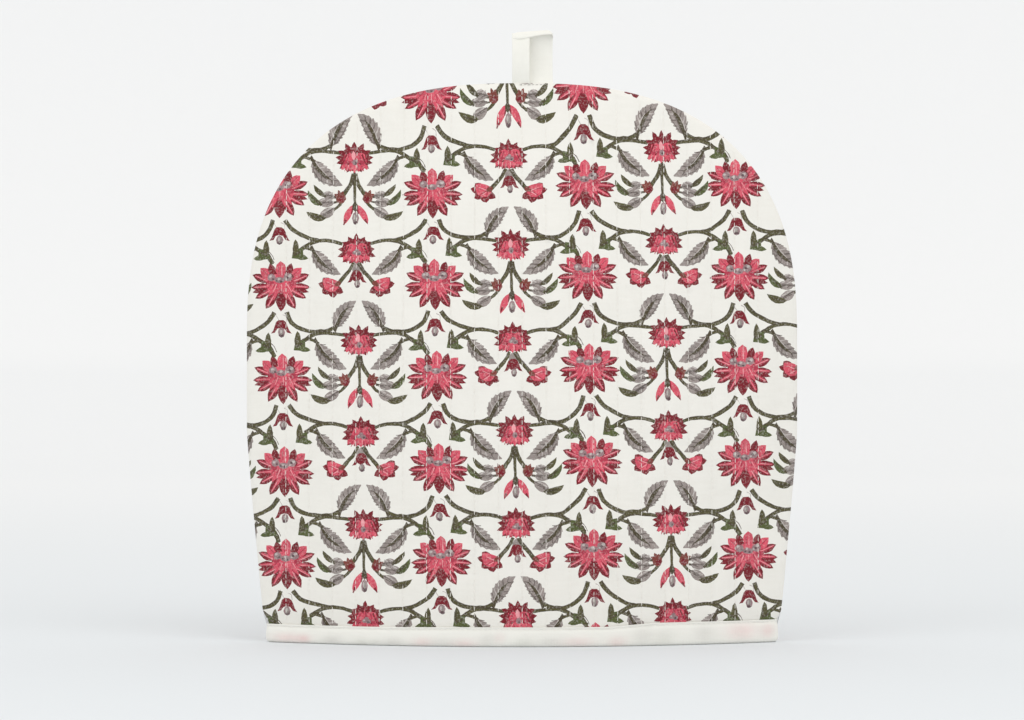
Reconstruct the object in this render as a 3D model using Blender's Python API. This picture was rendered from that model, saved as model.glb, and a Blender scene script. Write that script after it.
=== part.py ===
"""A quilted cotton tea cosy: two panels sewn round the dome, a bound hem, a hanging loop.

Metres, +Z up. The cosy stands on its hem at z = 0 with its mouth a little open. The seam
lies in the plane y = 0 and the front panel faces -Y.
"""

import math

import bmesh
import bpy

# Outline of a panel, seen from the front
SHOULDER_HALF = 0.1650
SHOULDER_Z = 0.1810
HEIGHT = 0.3350
DOME_POWER = 2.55
TAPER_FROM_Z = 0.1260
TAPER_POWER = 1.1
HEM_HALF = 0.1536
HEM_TUCK = 0.0030
HEM_TUCK_TO = 0.0200
DOME_POINTS = 64
SIDE_POINTS = 5
BELOW_FLOOR = 0.0200

# How far the panels stand open
MOUTH_HALF_DEPTH = 0.0430
LEAN_POWER = 2.2
SEAM_GAP = 0.0003
NARROWEST = 0.000001

# Quilted cloth
THICKNESS = 0.0032
HEM_THICKNESS = 0.0024
RIM_THICKNESS = 0.0008
RIM_ROUNDING = 0.0042
RIM_STEP = 0.0013
CHANNEL = 0.0141
CHANNEL_COUNT = 21
COLUMNS_PER_CHANNEL = 3
VALLEY_SHARPNESS = 6
VALLEY_DEPTH = 0.0008
LINING_VALLEY_DEPTH = 0.0004
ROW_PITCH = 0.0280
HEM_ROWS = (0.0110, 0.0185)
HEM_PINCH_FROM = 0.0100
HEM_PINCH_TO = 0.0280

# Soft unevenness of the cloth: (height, wave across, wave up, phase across, phase up)
RIPPLES = (
    (0.00110, 0.190, 0.230, 0.8, 0.4),
    (0.00060, 0.083, 0.310, -1.1, 1.3),
    (0.00045, 0.131, 0.120, 2.3, 2.1),
)
RIPPLE_START_Z = 0.0150
RIPPLE_FULL_Z = 0.0800
RIPPLE_TOP_FADE = 0.0600
RIPPLE_SIDE_FADE = 4

# Hem binding, a folded strip round the mouth
BINDING_HEIGHT = 0.0106
BINDING_BASE = 0.0016
BINDING_WALL = 0.0011
CLEARANCE = 0.0003
NOSE_CLEARANCE = 0.0004
BINDING_ROUND = 0.0005
BINDING_STATIONS = 34
INNER_NOSE = 0.00035
HEM_SIDE_SLOPE = math.radians(2)
PANEL_FOOT_Z = BINDING_BASE + CLEARANCE

# Hanging loop, a tape whose two legs stand side by side
LOOP_X = 0.0063
LOOP_WIDTH = 0.0246
LOOP_HEIGHT = 0.0310
LOOP_SLIT = 0.0008
LOOP_SLIT_X = -0.0012
TAPE_THICKNESS = 0.0014
LEG_BULGE = 0.0036
LEG_STEPS = 12
LEG_FULLNESS = 0.8
LEG_SPAN = 0.0300
CAP_THICKNESS = 0.0046
CAP_LOW_LEFT = 0.0257
CAP_LOW_RIGHT = 0.0286
CAP_TOP = 0.0300
CAP_ROUNDING = 0.0019
CAP_SEGMENTS = 3

# Modelling
MERGE_DISTANCE = 0.000001
SHARP_ANGLE = math.radians(40)

FRONT = -1
BACK = 1


def half_width(z):
    """Half the panel's width at height z."""
    if z >= SHOULDER_Z:
        rise = (z - SHOULDER_Z) / (HEIGHT - SHOULDER_Z)
        return SHOULDER_HALF * max(0.0, 1 - rise**DOME_POWER) ** (1 / DOME_POWER)
    if z >= TAPER_FROM_Z:
        return SHOULDER_HALF
    drop = (TAPER_FROM_Z - z) / TAPER_FROM_Z
    tuck = HEM_TUCK * (1 - smooth(z, BINDING_HEIGHT, HEM_TUCK_TO))
    return SHOULDER_HALF - (SHOULDER_HALF - HEM_HALF) * drop**TAPER_POWER - tuck


def outline_points():
    """The panel's outline from its right hem over the dome to its left hem.

    Its sides run on below the floor, where the panel is then cut.
    """
    upper = [
        TAPER_FROM_Z + (HEM_TUCK_TO - TAPER_FROM_Z) * step / SIDE_POINTS
        for step in range(SIDE_POINTS + 1)
    ]
    middle = (HEM_TUCK_TO + BINDING_HEIGHT) / 2
    heights = (*upper, middle, BINDING_HEIGHT, -BELOW_FLOOR)
    side = [(half_width(z), z) for z in heights]
    dome = []
    for step in range(DOME_POINTS + 1):
        turn = math.pi * step / DOME_POINTS
        across = math.copysign(abs(math.cos(turn)) ** (2 / DOME_POWER), math.cos(turn))
        up = abs(math.sin(turn)) ** (2 / DOME_POWER)
        dome.append((SHOULDER_HALF * across, SHOULDER_Z + (HEIGHT - SHOULDER_Z) * up))
    return side[::-1] + dome + [(-x, z) for x, z in side]


def smooth(value, low, high):
    """0 below low, 1 above high, and an even curve between."""
    share = min(1.0, max(0.0, (value - low) / (high - low)))
    return share * share * (3 - 2 * share)


def share_across(x, z):
    """How far x is from the middle to the seam, from 0 to 1."""
    return min(1.0, abs(x) / max(half_width(z), NARROWEST))


def lift(x, z):
    """How far the lining stands from the seam's plane, before the cloth's unevenness."""
    lean = 1 - (max(z, 0.0) / HEIGHT) ** LEAN_POWER
    return MOUTH_HALF_DEPTH * max(0.0, lean) * (1 - share_across(x, z) ** 2)


def ripple(x, z, side):
    """The cloth's soft unevenness, which dies out at the seam and the hem."""
    waves = sum(
        height
        * math.sin(math.tau * x / across + turn_x + side)
        * math.sin(math.tau * z / up + turn_z + 0.5 * side)
        for height, across, up, turn_x, turn_z in RIPPLES
    )
    free = 1 - share_across(x, z) ** RIPPLE_SIDE_FADE
    above_hem = smooth(z, RIPPLE_START_Z, RIPPLE_FULL_Z)
    return waves * free * above_hem * smooth(HEIGHT - z, 0.0, RIPPLE_TOP_FADE)


def valley(x):
    """1 on a quilting line and 0 half a channel away from it."""
    return abs(math.cos(math.pi * x / CHANNEL)) ** VALLEY_SHARPNESS


def seam_distance(x, z, outline):
    """The distance in the panel's plane to the seam round its sides and dome."""
    nearest = SHOULDER_HALF
    for (ax, az), (bx, bz) in zip(outline, outline[1:]):
        length = (bx - ax) ** 2 + (bz - az) ** 2
        along = min(1.0, max(0.0, ((x - ax) * (bx - ax) + (z - az) * (bz - az)) / length))
        nearest = min(nearest, math.hypot(x - ax - along * (bx - ax), z - az - along * (bz - az)))
    return nearest


def thickness(z, distance):
    """The quilted cloth's thickness, rounded down to the turned seam and pinched at the hem."""
    inward = min(distance, RIM_ROUNDING) / RIM_ROUNDING
    rounded = math.sqrt(1 - (1 - inward) ** 2)
    full = HEM_THICKNESS + (THICKNESS - HEM_THICKNESS) * smooth(z, HEM_PINCH_FROM, HEM_PINCH_TO)
    return RIM_THICKNESS + (full - RIM_THICKNESS) * rounded


def lining_depth(x, z, side):
    """Distance of a panel's inner face from the seam's plane."""
    return SEAM_GAP / 2 + max(0.0, lift(x, z) + ripple(x, z, side))


def cloth_depths(x, z, distance, side):
    """The (inner, outer) distances of a panel's faces from the seam's plane."""
    inner = lining_depth(x, z, side)
    outer = inner + thickness(z, distance)
    quilted = valley(x) * smooth(distance, 0.0, 2 * RIM_ROUNDING)
    quilted *= smooth(z, HEM_PINCH_FROM, HEM_PINCH_TO)
    return inner + LINING_VALLEY_DEPTH * quilted, outer - VALLEY_DEPTH * quilted


def cut(bm, place, normal, drop_below=False):
    """Cuts every face along a plane, and drops what lies behind it if asked."""
    bmesh.ops.bisect_plane(
        bm,
        geom=bm.verts[:] + bm.edges[:] + bm.faces[:],
        dist=MERGE_DISTANCE,
        plane_co=place,
        plane_no=normal,
        clear_inner=drop_below,
    )


def flat_panel():
    """The panel's outline as one face, with rim rings and the quilting's columns and rows."""
    bm = bmesh.new()
    face = bm.faces.new([bm.verts.new((x, 0, z)) for x, z in outline_points()])
    for step in (RIM_STEP, RIM_ROUNDING - RIM_STEP):
        bmesh.ops.inset_region(bm, faces=[face], thickness=step, use_even_offset=True)
    cut(bm, (0, 0, PANEL_FOOT_Z), (0, 0, 1), drop_below=True)
    columns = (CHANNEL_COUNT - 1) * COLUMNS_PER_CHANNEL // 2 + COLUMNS_PER_CHANNEL - 1
    for column in range(-columns, columns + 1):
        cut(bm, (column * CHANNEL / COLUMNS_PER_CHANNEL, 0, 0), (1, 0, 0))
    rows = [ROW_PITCH * (step + 1) for step in range(int(HEIGHT / ROW_PITCH))]
    for z in (*HEM_ROWS, *rows):
        cut(bm, (0, 0, z), (0, 0, 1))
    return bm


def finish(bm, name, collection, material):
    """Closes the mesh's books: normals out, smooth shading, one named object."""
    bmesh.ops.recalc_face_normals(bm, faces=bm.faces[:])
    mesh = bpy.data.meshes.new(name)
    bm.to_mesh(mesh)
    bm.free()
    mesh.shade_smooth()
    mesh.set_sharp_from_angle(angle=SHARP_ANGLE)
    mesh.materials.append(material)
    piece = bpy.data.objects.new(name, mesh)
    collection.objects.link(piece)
    return piece


def panel(name, side, collection, material):
    """One quilted panel, from a flat cut to its bowed, channelled form."""
    bm = flat_panel()
    outline = outline_points()
    lining = set(bm.verts)
    bmesh.ops.extrude_face_region(bm, geom=bm.faces[:])
    for vert in bm.verts:
        x, _, z = vert.co
        inner, outer = cloth_depths(x, z, seam_distance(x, z, outline), side)
        vert.co.y = side * (inner if vert in lining else outer)
    bmesh.ops.triangulate(bm, faces=bm.faces[:])
    return finish(bm, name, collection, material)


def hem_outer(x):
    """The outer face's distance from the seam's plane where the binding holds it."""
    z = BINDING_HEIGHT
    inward = (half_width(z) - abs(x)) * math.cos(HEM_SIDE_SLOPE)
    return SEAM_GAP / 2 + lift(x, z) + thickness(0, inward)


def hem_slope(x):
    """How steeply the lining runs back at the hem."""
    return 2 * MOUTH_HALF_DEPTH * abs(x) / half_width(BINDING_HEIGHT) ** 2


def stations(half):
    """Places across the mouth, closer together towards its corners."""
    steps = BINDING_STATIONS - 1
    return [half * math.sin(math.pi * (step / steps - 0.5)) for step in range(BINDING_STATIONS)]


def closed_loop(half, depth_at):
    """A loop round the mouth: the front from left to right, then the back."""
    front = [(x, -depth_at(x)) for x in stations(half)]
    return front + [(x, -y) for x, y in reversed(front)]


def grown(loop, distance):
    """The convex loop moved outwards by a distance, with its corners kept."""
    moved = []
    for index, (x, y) in enumerate(loop):
        before, after = loop[index - 1], loop[(index + 1) % len(loop)]
        normals = []
        for (ax, ay), (bx, by) in ((before, (x, y)), ((x, y), after)):
            length = math.hypot(bx - ax, by - ay)
            normals.append(((by - ay) / length, (ax - bx) / length))
        nx = normals[0][0] + normals[1][0]
        ny = normals[0][1] + normals[1][1]
        size = math.hypot(nx, ny)
        reach = distance * 2 / size**2
        moved.append((x + nx * reach, y + ny * reach))
    return moved


def inner_loop(offset):
    """A loop inside the lining's curve by an offset, closed in a small blunt corner."""

    def depth_at(x):
        return SEAM_GAP / 2 + lift(x, 0) - offset * math.hypot(1, hem_slope(x))

    low, high = 0.0, half_width(0)
    while high - low > MERGE_DISTANCE:
        middle = (low + high) / 2
        low, high = (middle, high) if depth_at(middle) > INNER_NOSE else (low, middle)
    return closed_loop(low, depth_at)


def between(first, second):
    """The loop midway between two loops of the same length."""
    return [((ax + bx) / 2, (ay + by) / 2) for (ax, ay), (bx, by) in zip(first, second)]


def binding(name, collection, material):
    """The strip folded round both panels' lower edges, flat underneath."""
    hull = closed_loop(half_width(BINDING_HEIGHT), hem_outer)
    slot_out = grown(hull, NOSE_CLEARANCE)
    outside = grown(slot_out, BINDING_WALL)
    slot_in = inner_loop(CLEARANCE)
    inside = inner_loop(CLEARANCE + BINDING_WALL)
    section = (
        (grown(outside, -BINDING_ROUND), 0.0),
        (outside, BINDING_ROUND),
        (outside, BINDING_HEIGHT - BINDING_ROUND),
        (between(outside, slot_out), BINDING_HEIGHT),
        (slot_out, BINDING_HEIGHT - BINDING_ROUND),
        (slot_out, BINDING_BASE),
        (slot_in, BINDING_BASE),
        (slot_in, BINDING_HEIGHT - BINDING_ROUND),
        (between(slot_in, inside), BINDING_HEIGHT),
        (inside, BINDING_HEIGHT - BINDING_ROUND),
        (inside, 0.0),
    )
    bm = bmesh.new()
    rings = [[bm.verts.new((x, y, z)) for x, y in loop] for loop, z in section]
    for ring, following in zip(rings, rings[1:] + rings[:1]):
        for i in range(len(ring)):
            bm.faces.new((ring[i - 1], ring[i], following[i], following[i - 1]))
    bmesh.ops.triangulate(bm, faces=bm.faces[:])
    return finish(bm, name, collection, material)


def leg(name, left, right, side, helpers, material):
    """One leg of the tape, bowed to the front or the back between its two ends."""
    bm = bmesh.new()
    foot = HEIGHT + CLEARANCE
    bmesh.ops.create_grid(bm, x_segments=2, y_segments=LEG_STEPS, size=0.5)
    inner = set(bm.verts)
    bmesh.ops.extrude_face_region(bm, geom=bm.faces[:])
    for vert in bm.verts:
        across, along = vert.co.x + 0.5, vert.co.y + 0.5
        arch = math.sin(math.pi * min(1.0, max(0.0, along)))
        out = LEG_BULGE * arch**LEG_FULLNESS
        if vert not in inner:
            out += TAPE_THICKNESS
        vert.co = (left + (right - left) * across, side * out, foot + LEG_SPAN * along)
    return finish(bm, name, helpers, material)


def cap_of_loop(name, collection, material):
    """The tape's crossing over both legs, rounded over the top, its lower edge aslant."""
    foot = HEIGHT + CLEARANCE
    bm = bmesh.new()
    bmesh.ops.create_cube(bm, size=1)
    for vert in bm.verts:
        x, y, z = vert.co
        low = CAP_LOW_LEFT if x < 0 else CAP_LOW_RIGHT
        height = LOOP_HEIGHT if z > 0 else low
        vert.co = (LOOP_X + x * LOOP_WIDTH, y * CAP_THICKNESS, foot + height)
    top_edges = [edge for edge in bm.edges if all(v.co.z > foot + CAP_TOP for v in edge.verts)]
    bmesh.ops.bevel(
        bm,
        geom=top_edges,
        offset=CAP_ROUNDING,
        segments=CAP_SEGMENTS,
        profile=0.5,
        affect="EDGES",
        material=-1,
    )
    return finish(bm, name, collection, material)


def hanging_loop(name, collection, helpers, material):
    """Two legs of tape under a cap folded across their tops, as one solid."""
    left, right = LOOP_X - LOOP_WIDTH / 2, LOOP_X + LOOP_WIDTH / 2
    slit = LOOP_X + LOOP_SLIT_X
    legs = (
        leg(name + "_left_leg", left, slit - LOOP_SLIT / 2, FRONT, helpers, material),
        leg(name + "_right_leg", slit + LOOP_SLIT / 2, right, BACK, helpers, material),
    )
    loop = cap_of_loop(name, collection, material)
    for part in legs:
        join = loop.modifiers.new("join " + part.name, "BOOLEAN")
        join.operation = "UNION"
        join.object = part
    return loop


def cloth(name, colour, roughness):
    """A plain woven cotton finish."""
    material = bpy.data.materials.new(name)
    material.use_nodes = True
    shader = material.node_tree.nodes["Principled BSDF"]
    shader.inputs["Base Color"].default_value = (*colour, 1)
    shader.inputs["Roughness"].default_value = roughness
    shader.inputs["Metallic"].default_value = 0
    return material


def main():
    for old in list(bpy.data.objects):
        bpy.data.objects.remove(old)
    cosy = bpy.data.collections.new("tea_cosy")
    helpers = bpy.data.collections.new("tea_cosy_helpers")
    bpy.context.scene.collection.children.link(cosy)
    bpy.context.scene.collection.children.link(helpers)
    printed = cloth("printed cotton", (0.72, 0.60, 0.56), 0.90)
    plain = cloth("plain white cotton", (0.82, 0.81, 0.76), 0.92)
    panel("front_panel", FRONT, cosy, printed)
    panel("back_panel", BACK, cosy, printed)
    binding("hem_binding", cosy, plain)
    hanging_loop("hanging_loop", cosy, helpers, plain)
    for helper in helpers.objects:
        helper.hide_render = True
        helper.display_type = "WIRE"


main()
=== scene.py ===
"""Looks of a quilted cotton tea cosy, block-printed with flowering vines.

Metres, +Z up. The cosy stands on its hem with the front panel facing -Y. Each class below is
a sub-assembly or a finish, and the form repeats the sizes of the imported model.
"""

import logging
import math
import random
from collections.abc import Callable, Iterable
from dataclasses import dataclass, field
from enum import Enum
from typing import Any, NamedTuple

import bmesh
import bpy
import numpy
from mathutils import Matrix, Vector, kdtree, noise
from mathutils.geometry import delaunay_2d_cdt


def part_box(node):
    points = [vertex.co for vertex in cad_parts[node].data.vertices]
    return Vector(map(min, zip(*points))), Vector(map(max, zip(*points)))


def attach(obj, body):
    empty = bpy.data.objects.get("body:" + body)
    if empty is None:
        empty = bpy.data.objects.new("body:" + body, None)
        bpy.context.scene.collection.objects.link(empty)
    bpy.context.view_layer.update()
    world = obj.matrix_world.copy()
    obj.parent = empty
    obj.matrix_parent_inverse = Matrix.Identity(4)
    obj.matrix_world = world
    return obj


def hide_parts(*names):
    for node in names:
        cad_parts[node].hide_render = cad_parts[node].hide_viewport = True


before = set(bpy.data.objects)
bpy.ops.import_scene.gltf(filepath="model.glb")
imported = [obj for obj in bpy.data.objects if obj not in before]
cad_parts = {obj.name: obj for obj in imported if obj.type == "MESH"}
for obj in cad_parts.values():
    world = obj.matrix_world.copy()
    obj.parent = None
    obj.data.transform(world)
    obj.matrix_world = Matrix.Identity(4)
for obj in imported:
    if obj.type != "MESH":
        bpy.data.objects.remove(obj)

LOG = logging.getLogger("tea_cosy")
Point = tuple[float, float]
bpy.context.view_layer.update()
FRONT = -1
BACK = 1


def smooth(value: float, low: float, high: float) -> float:
    """Returns 0 below low, 1 above high, and an even curve between."""
    share = min(1.0, max(0.0, (value - low) / (high - low)))
    return share * share * (3 - 2 * share)


def bump_shape(value: float, spread: float) -> float:
    """Returns a soft bump of height 1 at 0 that has died out past two spreads."""
    return math.exp(-((value / spread) ** 2))


def linear(code: str) -> tuple[float, float, float, float]:
    """Turns an sRGB hex colour to linear RGBA."""
    parts = [int(code[place : place + 2], 16) / 255 for place in (0, 2, 4)]
    return (*((c / 12.92) if c <= 0.04045 else ((c + 0.055) / 1.055) ** 2.4 for c in parts), 1.0)


def add_node(tree: Any, kind: str, settings: dict[str, Any], sockets: dict[Any, Any]) -> Any:
    """Adds one shader node.

    Args:
        tree: The material's node tree.
        kind: The node's Blender type.
        settings: Values of the node's own properties.
        sockets: A number, a colour or another node's output for each named or counted input.

    Returns:
        The new node.
    """
    made = tree.nodes.new(kind)
    for name, value in settings.items():
        setattr(made, name, value)
    for name, value in sockets.items():
        if isinstance(value, bpy.types.NodeSocket):
            tree.links.new(value, made.inputs[name])
        else:
            made.inputs[name].default_value = value
    return made


def show(bm: bmesh.types.BMesh, name: str, materials: list[bpy.types.Material]) -> bpy.types.Object:
    """Makes a smooth-shaded object at the origin from a bmesh, which it frees.

    Args:
        bm: The shape, in the row frame.
        name: The piece's name.
        materials: Its finishes.

    Returns:
        The object, linked to the scene.
    """
    mesh = bpy.data.meshes.new(name)
    bm.to_mesh(mesh)
    bm.free()
    mesh.shade_smooth()
    for material in materials:
        mesh.materials.append(material)
    piece = bpy.data.objects.new(name, mesh)
    bpy.context.scene.collection.objects.link(piece)
    LOG.info("%s: %d faces", name, len(mesh.polygons))
    return piece


class Ink(Enum):
    """The printing inks, and what bare cloth counts as."""

    NONE = "F1F0EA"
    CORAL = "CD5062"
    ROSE = "AA384B"
    MAROON = "771E29"
    BLUSH = "E39AA0"
    LEAF = "918783"
    VEIN = "665C58"
    MIST = "BAB2AE"
    HUSK = "93787B"
    SOOT = "5F4B4E"
    BARK = "4C4433"
    OLIVE = "545034"
    MOSS = "535A34"
    RUST = "7B3F38"


class Patch(NamedTuple):
    """One printed area: its outline and its ink."""

    outline: list[Point]
    ink: Ink


class Petal(NamedTuple):
    """A petal of the chart, from its base to its tip, in chart steps."""

    tip: Point
    base: Point
    width: float
    ink: Ink
    lined: bool


LOTUS_PETALS = (
    Petal((29.0, -7.5), (10, -2), 6.0, Ink.MAROON, False),
    Petal((30.5, -2.5), (11, -1), 7.2, Ink.MAROON, True),
    Petal((29.0, 10.5), (11, 3), 8.4, Ink.MAROON, True),
    Petal((26.0, -13.5), (9, -4), 7.6, Ink.MAROON, True),
    Petal((15.0, -24.0), (5, -7), 9.4, Ink.MAROON, True),
    Petal((21.0, 17.5), (9, 6), 10.2, Ink.CORAL, False),
    Petal((11.0, 22.0), (7, 9), 7.6, Ink.MAROON, False),
)
DAISY_TIPS = ((9.5, 15.6), (16.4, 8.6), (19.2, 1.6), (18.4, -4.6), (15.0, -10.0), (7.6, -13.8))
ASTER_TIPS = ((8.6, 13.6), (14.4, 8.4), (18.6, 1.2), (19.2, -6.2), (14.2, -12.2), (7.0, -13.6))


@dataclass
class Chart:
    """A drawing on squared paper: patches in painter's order, in chart steps, y up."""

    patches: list[Patch] = field(default_factory=list)
    way: int = 1

    def fill(self, outline: Iterable[Point], ink: Ink) -> None:
        """Adds one area, turned over left to right when the chart's way is -1."""
        self.patches.append(Patch([(x * self.way, y) for x, y in outline], ink))

    def both(self, draw: Callable[[], None]) -> None:
        """Draws something on the left and on the right.

        Args:
            draw: Draws the thing on the chart's present side.
        """
        for way in (-1, 1):
            self.way = way
            draw()
        self.way = 1

    def oval(self, centre: Point, across: float, up: float, ink: Ink, turn: float = 0.0) -> None:
        """Adds an oval with its size across and up, turned by some degrees.

        Args:
            centre: Its middle.
            across: Its width.
            up: Its height.
            ink: Its ink.
            turn: Degrees against the clock.
        """
        points = 12 if across > 12 else 8 if across > 3.6 else 6
        cos, sin = math.cos(math.radians(turn)), math.sin(math.radians(turn))
        outline = []
        for step in range(points):
            angle = math.tau * step / points
            x, y = math.cos(angle) * across / 2, math.sin(angle) * up / 2
            outline.append((centre[0] + x * cos - y * sin, centre[1] + x * sin + y * cos))
        self.fill(outline, ink)

    def blade(
        self,
        base: Point,
        tip: Point,
        width: float,
        ink: Ink,
        belly: float = 0.5,
        bend: float = 0.0,
        blunt: float = 1.0,
        teeth: int = 0,
        tooth: float = 0.0,
        steps: int = 6,
    ) -> None:
        """Adds a petal, sepal or leaf.

        Args:
            base: Where it starts.
            tip: Where it ends.
            width: Its greatest width.
            ink: Its ink.
            belly: How far along it is widest, from 0 to 1.
            bend: How far its middle leaves the straight line, as a share of its length.
            blunt: Below 1 fills the ends out, above 1 draws them in.
            teeth: Teeth along each edge.
            tooth: How deep a tooth is, as a share of the half width.
            steps: Points along each edge where it has no teeth.
        """
        (bx, by), (tx, ty) = base, tip
        length = math.hypot(tx - bx, ty - by)
        ux, uy = (tx - bx) / length, (ty - by) / length
        power = math.log(0.5) / math.log(belly)
        places = [step / steps for step in range(1, steps)]
        if teeth:
            places = [(t + share) / teeth for t in range(teeth) for share in (0.12, 0.88)]
        left, right = [], []
        for index, t in enumerate(places):
            side = width / 2 * math.sin(math.pi * t**power) ** blunt
            if teeth and index % 2 == 0:
                side *= 1 - tooth
            bow = 4 * bend * length * t * (1 - t)
            slope = 4 * bend * (1 - 2 * t)
            size = math.hypot(1, slope)
            x = bx + ux * length * t - uy * bow
            y = by + uy * length * t + ux * bow
            nx, ny = (-uy - ux * slope) / size, (ux - uy * slope) / size
            left.append((x + nx * side, y + ny * side))
            right.append((x - nx * side, y - ny * side))
        self.fill([base, *right, tip, *reversed(left)], ink)

    def ribbon(self, route: list[Point], start: float, end: float, ink: Ink) -> None:
        """Adds a stem or line along a smooth curve, from one width to another.

        Args:
            route: Its places, in order.
            start: Its width at the first place.
            end: Its width at the last place.
            ink: Its ink.
        """
        points = curve_through(route, 3 if len(route) > 2 else 1)
        left, right = [], []
        for index, (x, y) in enumerate(points):
            ahead = points[min(index + 1, len(points) - 1)]
            behind = points[max(index - 1, 0)]
            dx, dy = ahead[0] - behind[0], ahead[1] - behind[1]
            size = math.hypot(dx, dy) or 1.0
            half = (start + (end - start) * index / (len(points) - 1)) / 2
            left.append((x - dy / size * half, y + dx / size * half))
            right.append((x + dy / size * half, y - dx / size * half))
        self.fill([*right, *reversed(left)], ink)

    def vine(self, route: list[Point], start: float, end: float) -> None:
        """Adds a stem: a dark line block under a narrower olive one, a little off register.

        Args:
            route: Its places, in order.
            start: Its width at the first place.
            end: Its width at the last place.
        """
        self.ribbon(route, start, end, Ink.BARK)
        slipped = [(x + 0.3, y - 0.4) for x, y in route]
        self.ribbon(slipped, start * 0.5, end * 0.5, Ink.OLIVE)

    def leaf(self, base: Point, tip: Point, width: float, bend: float, teeth: int) -> None:
        """Adds a toothed grey leaf with hatched veins and a thick dark midrib.

        Args:
            base: Where it starts.
            tip: Where it ends.
            width: Its greatest width.
            bend: How far its middle leaves the straight line, as a share of its length.
            teeth: Teeth along each edge.
        """
        self.blade(base, tip, width, Ink.LEAF, 0.42, bend, 0.8, teeth, 0.2)
        (bx, by), (tx, ty) = base, tip
        length = math.hypot(tx - bx, ty - by)
        ux, uy = (tx - bx) / length, (ty - by) / length

        def at(t: float, off: float) -> Point:
            """Returns the place a share along the midrib and so far to its left."""
            bow = 4 * bend * length * t * (1 - t) + off
            return bx + ux * length * t - uy * bow, by + uy * length * t + ux * bow

        for index, place in enumerate((0.08, 0.24, 0.4, 0.56, 0.71)):
            for way in (-1, 1):
                reach = width * 0.46 * math.sin(math.pi * min(0.97, place + 0.16) ** 0.8) ** 0.8
                ink = Ink.VEIN if (index + way) % 4 else Ink.MIST
                start = at(place, way * 0.6)
                self.ribbon([start, at(place + 0.13, way * reach)], 1.5, 0.6, ink)
        edge = [at(t, width * 0.38 * math.sin(math.pi * t**0.8)) for t in (0.2, 0.5, 0.8)]
        self.ribbon(edge, 1.0, 0.6, Ink.VEIN)
        shadow = [at(t, width * 0.07) for t in (0.12, 0.36, 0.6)]
        self.ribbon(shadow, 4.4, 1.6, Ink.VEIN)
        rib = [(at(t, half)) for t, half in ((-0.1, 1.5), (0.1, 1.9), (0.3, 2.3), (0.5, 1.6), (0.78, 0.2))]
        rib += [(at(t, -half)) for t, half in ((0.5, 1.4), (0.3, 2.0), (0.1, 1.7), (-0.1, 1.5))]
        self.fill(rib, Ink.BARK)
        self.ribbon([at(t, -1.6) for t in (0.08, 0.3, 0.52)], 0.9, 0.5, Ink.MIST)


def curve_through(route: list[Point], steps: int) -> list[Point]:
    """Returns points on a smooth curve through the route, a number of steps for each stretch.

    Args:
        route: Its places, in order.
        steps: Points for each stretch.

    Returns:
        The curve's points, with the last place.
    """
    made = []
    for index in range(len(route) - 1):
        a = route[max(index - 1, 0)]
        b, c = route[index], route[index + 1]
        d = route[min(index + 2, len(route) - 1)]
        for step in range(steps):
            t = step / steps
            made.append(tuple(
                0.5
                * (
                    2 * q
                    + (r - p) * t
                    + (2 * p - 5 * q + 4 * r - s) * t * t
                    + (3 * q - p - 3 * r + s) * t**3
                )
                for p, q, r, s in zip(a, b, c, d)
            ))
    return [*made, route[-1]]


def lotus() -> Chart:
    """Charts the large flower: pointed petals round a husk and a coral heart.

    Returns:
        The chart, its centre at 0, 0.
    """
    chart = Chart()
    chart.oval((0, -3), 34, 25, Ink.MAROON)
    chart.blade((0.3, -8), (0.5, -26.5), 11, Ink.MAROON, 0.4, blunt=0.75)
    for petal in LOTUS_PETALS:
        chart.both(lambda petal=petal: lotus_petal(chart, petal))
    chart.oval((0, 8), 27, 13, Ink.MAROON)
    chart.oval((0, 7), 24, 10, Ink.CORAL)
    chart.blade((0, 5), (-0.5, 24.5), 10.5, Ink.CORAL, 0.6, blunt=0.6)
    chart.ribbon([(-2.2, 11), (-2.6, 19)], 1.0, 0.5, Ink.ROSE)
    chart.ribbon([(0.8, 10), (0.6, 22)], 1.0, 0.5, Ink.BLUSH)
    chart.oval((0, -1), 30, 14, Ink.CORAL)
    for at, across, up in (((-11, 2.5), 8, 5), ((11.5, 1.5), 9, 5.5), ((1.5, -6.5), 10, 4.2)):
        chart.oval(at, across, up, Ink.ROSE)
    for x, reach in ((-11, -12), (-6, -15), (5, -15), (10.5, -12.5)):
        chart.blade((x * 0.5, -2), (x * 1.25, reach), 3.6, Ink.CORAL, 0.4, blunt=0.7)
    for x in (-13, -8, -4.5, 6, 11):
        lift = 1.5 - abs(x) * 0.1
        chart.ribbon([(x * 0.8, lift), (x * 1.1, -5.5 + abs(x) * 0.1)], 1.3, 0.6, Ink.ROSE)
    for x in (-6.5, 0.5, 9):
        chart.ribbon([(x * 0.7, 0.5), (x * 1.2, -7)], 0.9, 0.4, Ink.BLUSH)
    for at, across, up in (((-9.3, 7.4), 8.6, 7.6), ((7.6, 7.8), 9.4, 8.4), ((-0.8, 4.8), 11, 6.4)):
        chart.oval(at, across, up, Ink.HUSK)
    for at, size in (((-10.6, 8.6), 2.6), ((9.2, 9.2), 3.0), ((-1.5, 6.2), 2.4), ((5.6, 6.0), 2.0)):
        chart.oval(at, size * 1.3, size, Ink.MIST, 20)
    for at, size in (((-7.4, 6.2), 2.2), ((7.2, 7.6), 2.6), ((0.8, 3.6), 2.4), ((-3.6, 4.4), 1.8)):
        chart.oval(at, size * 1.2, size, Ink.SOOT, -15)
    return chart


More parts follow.
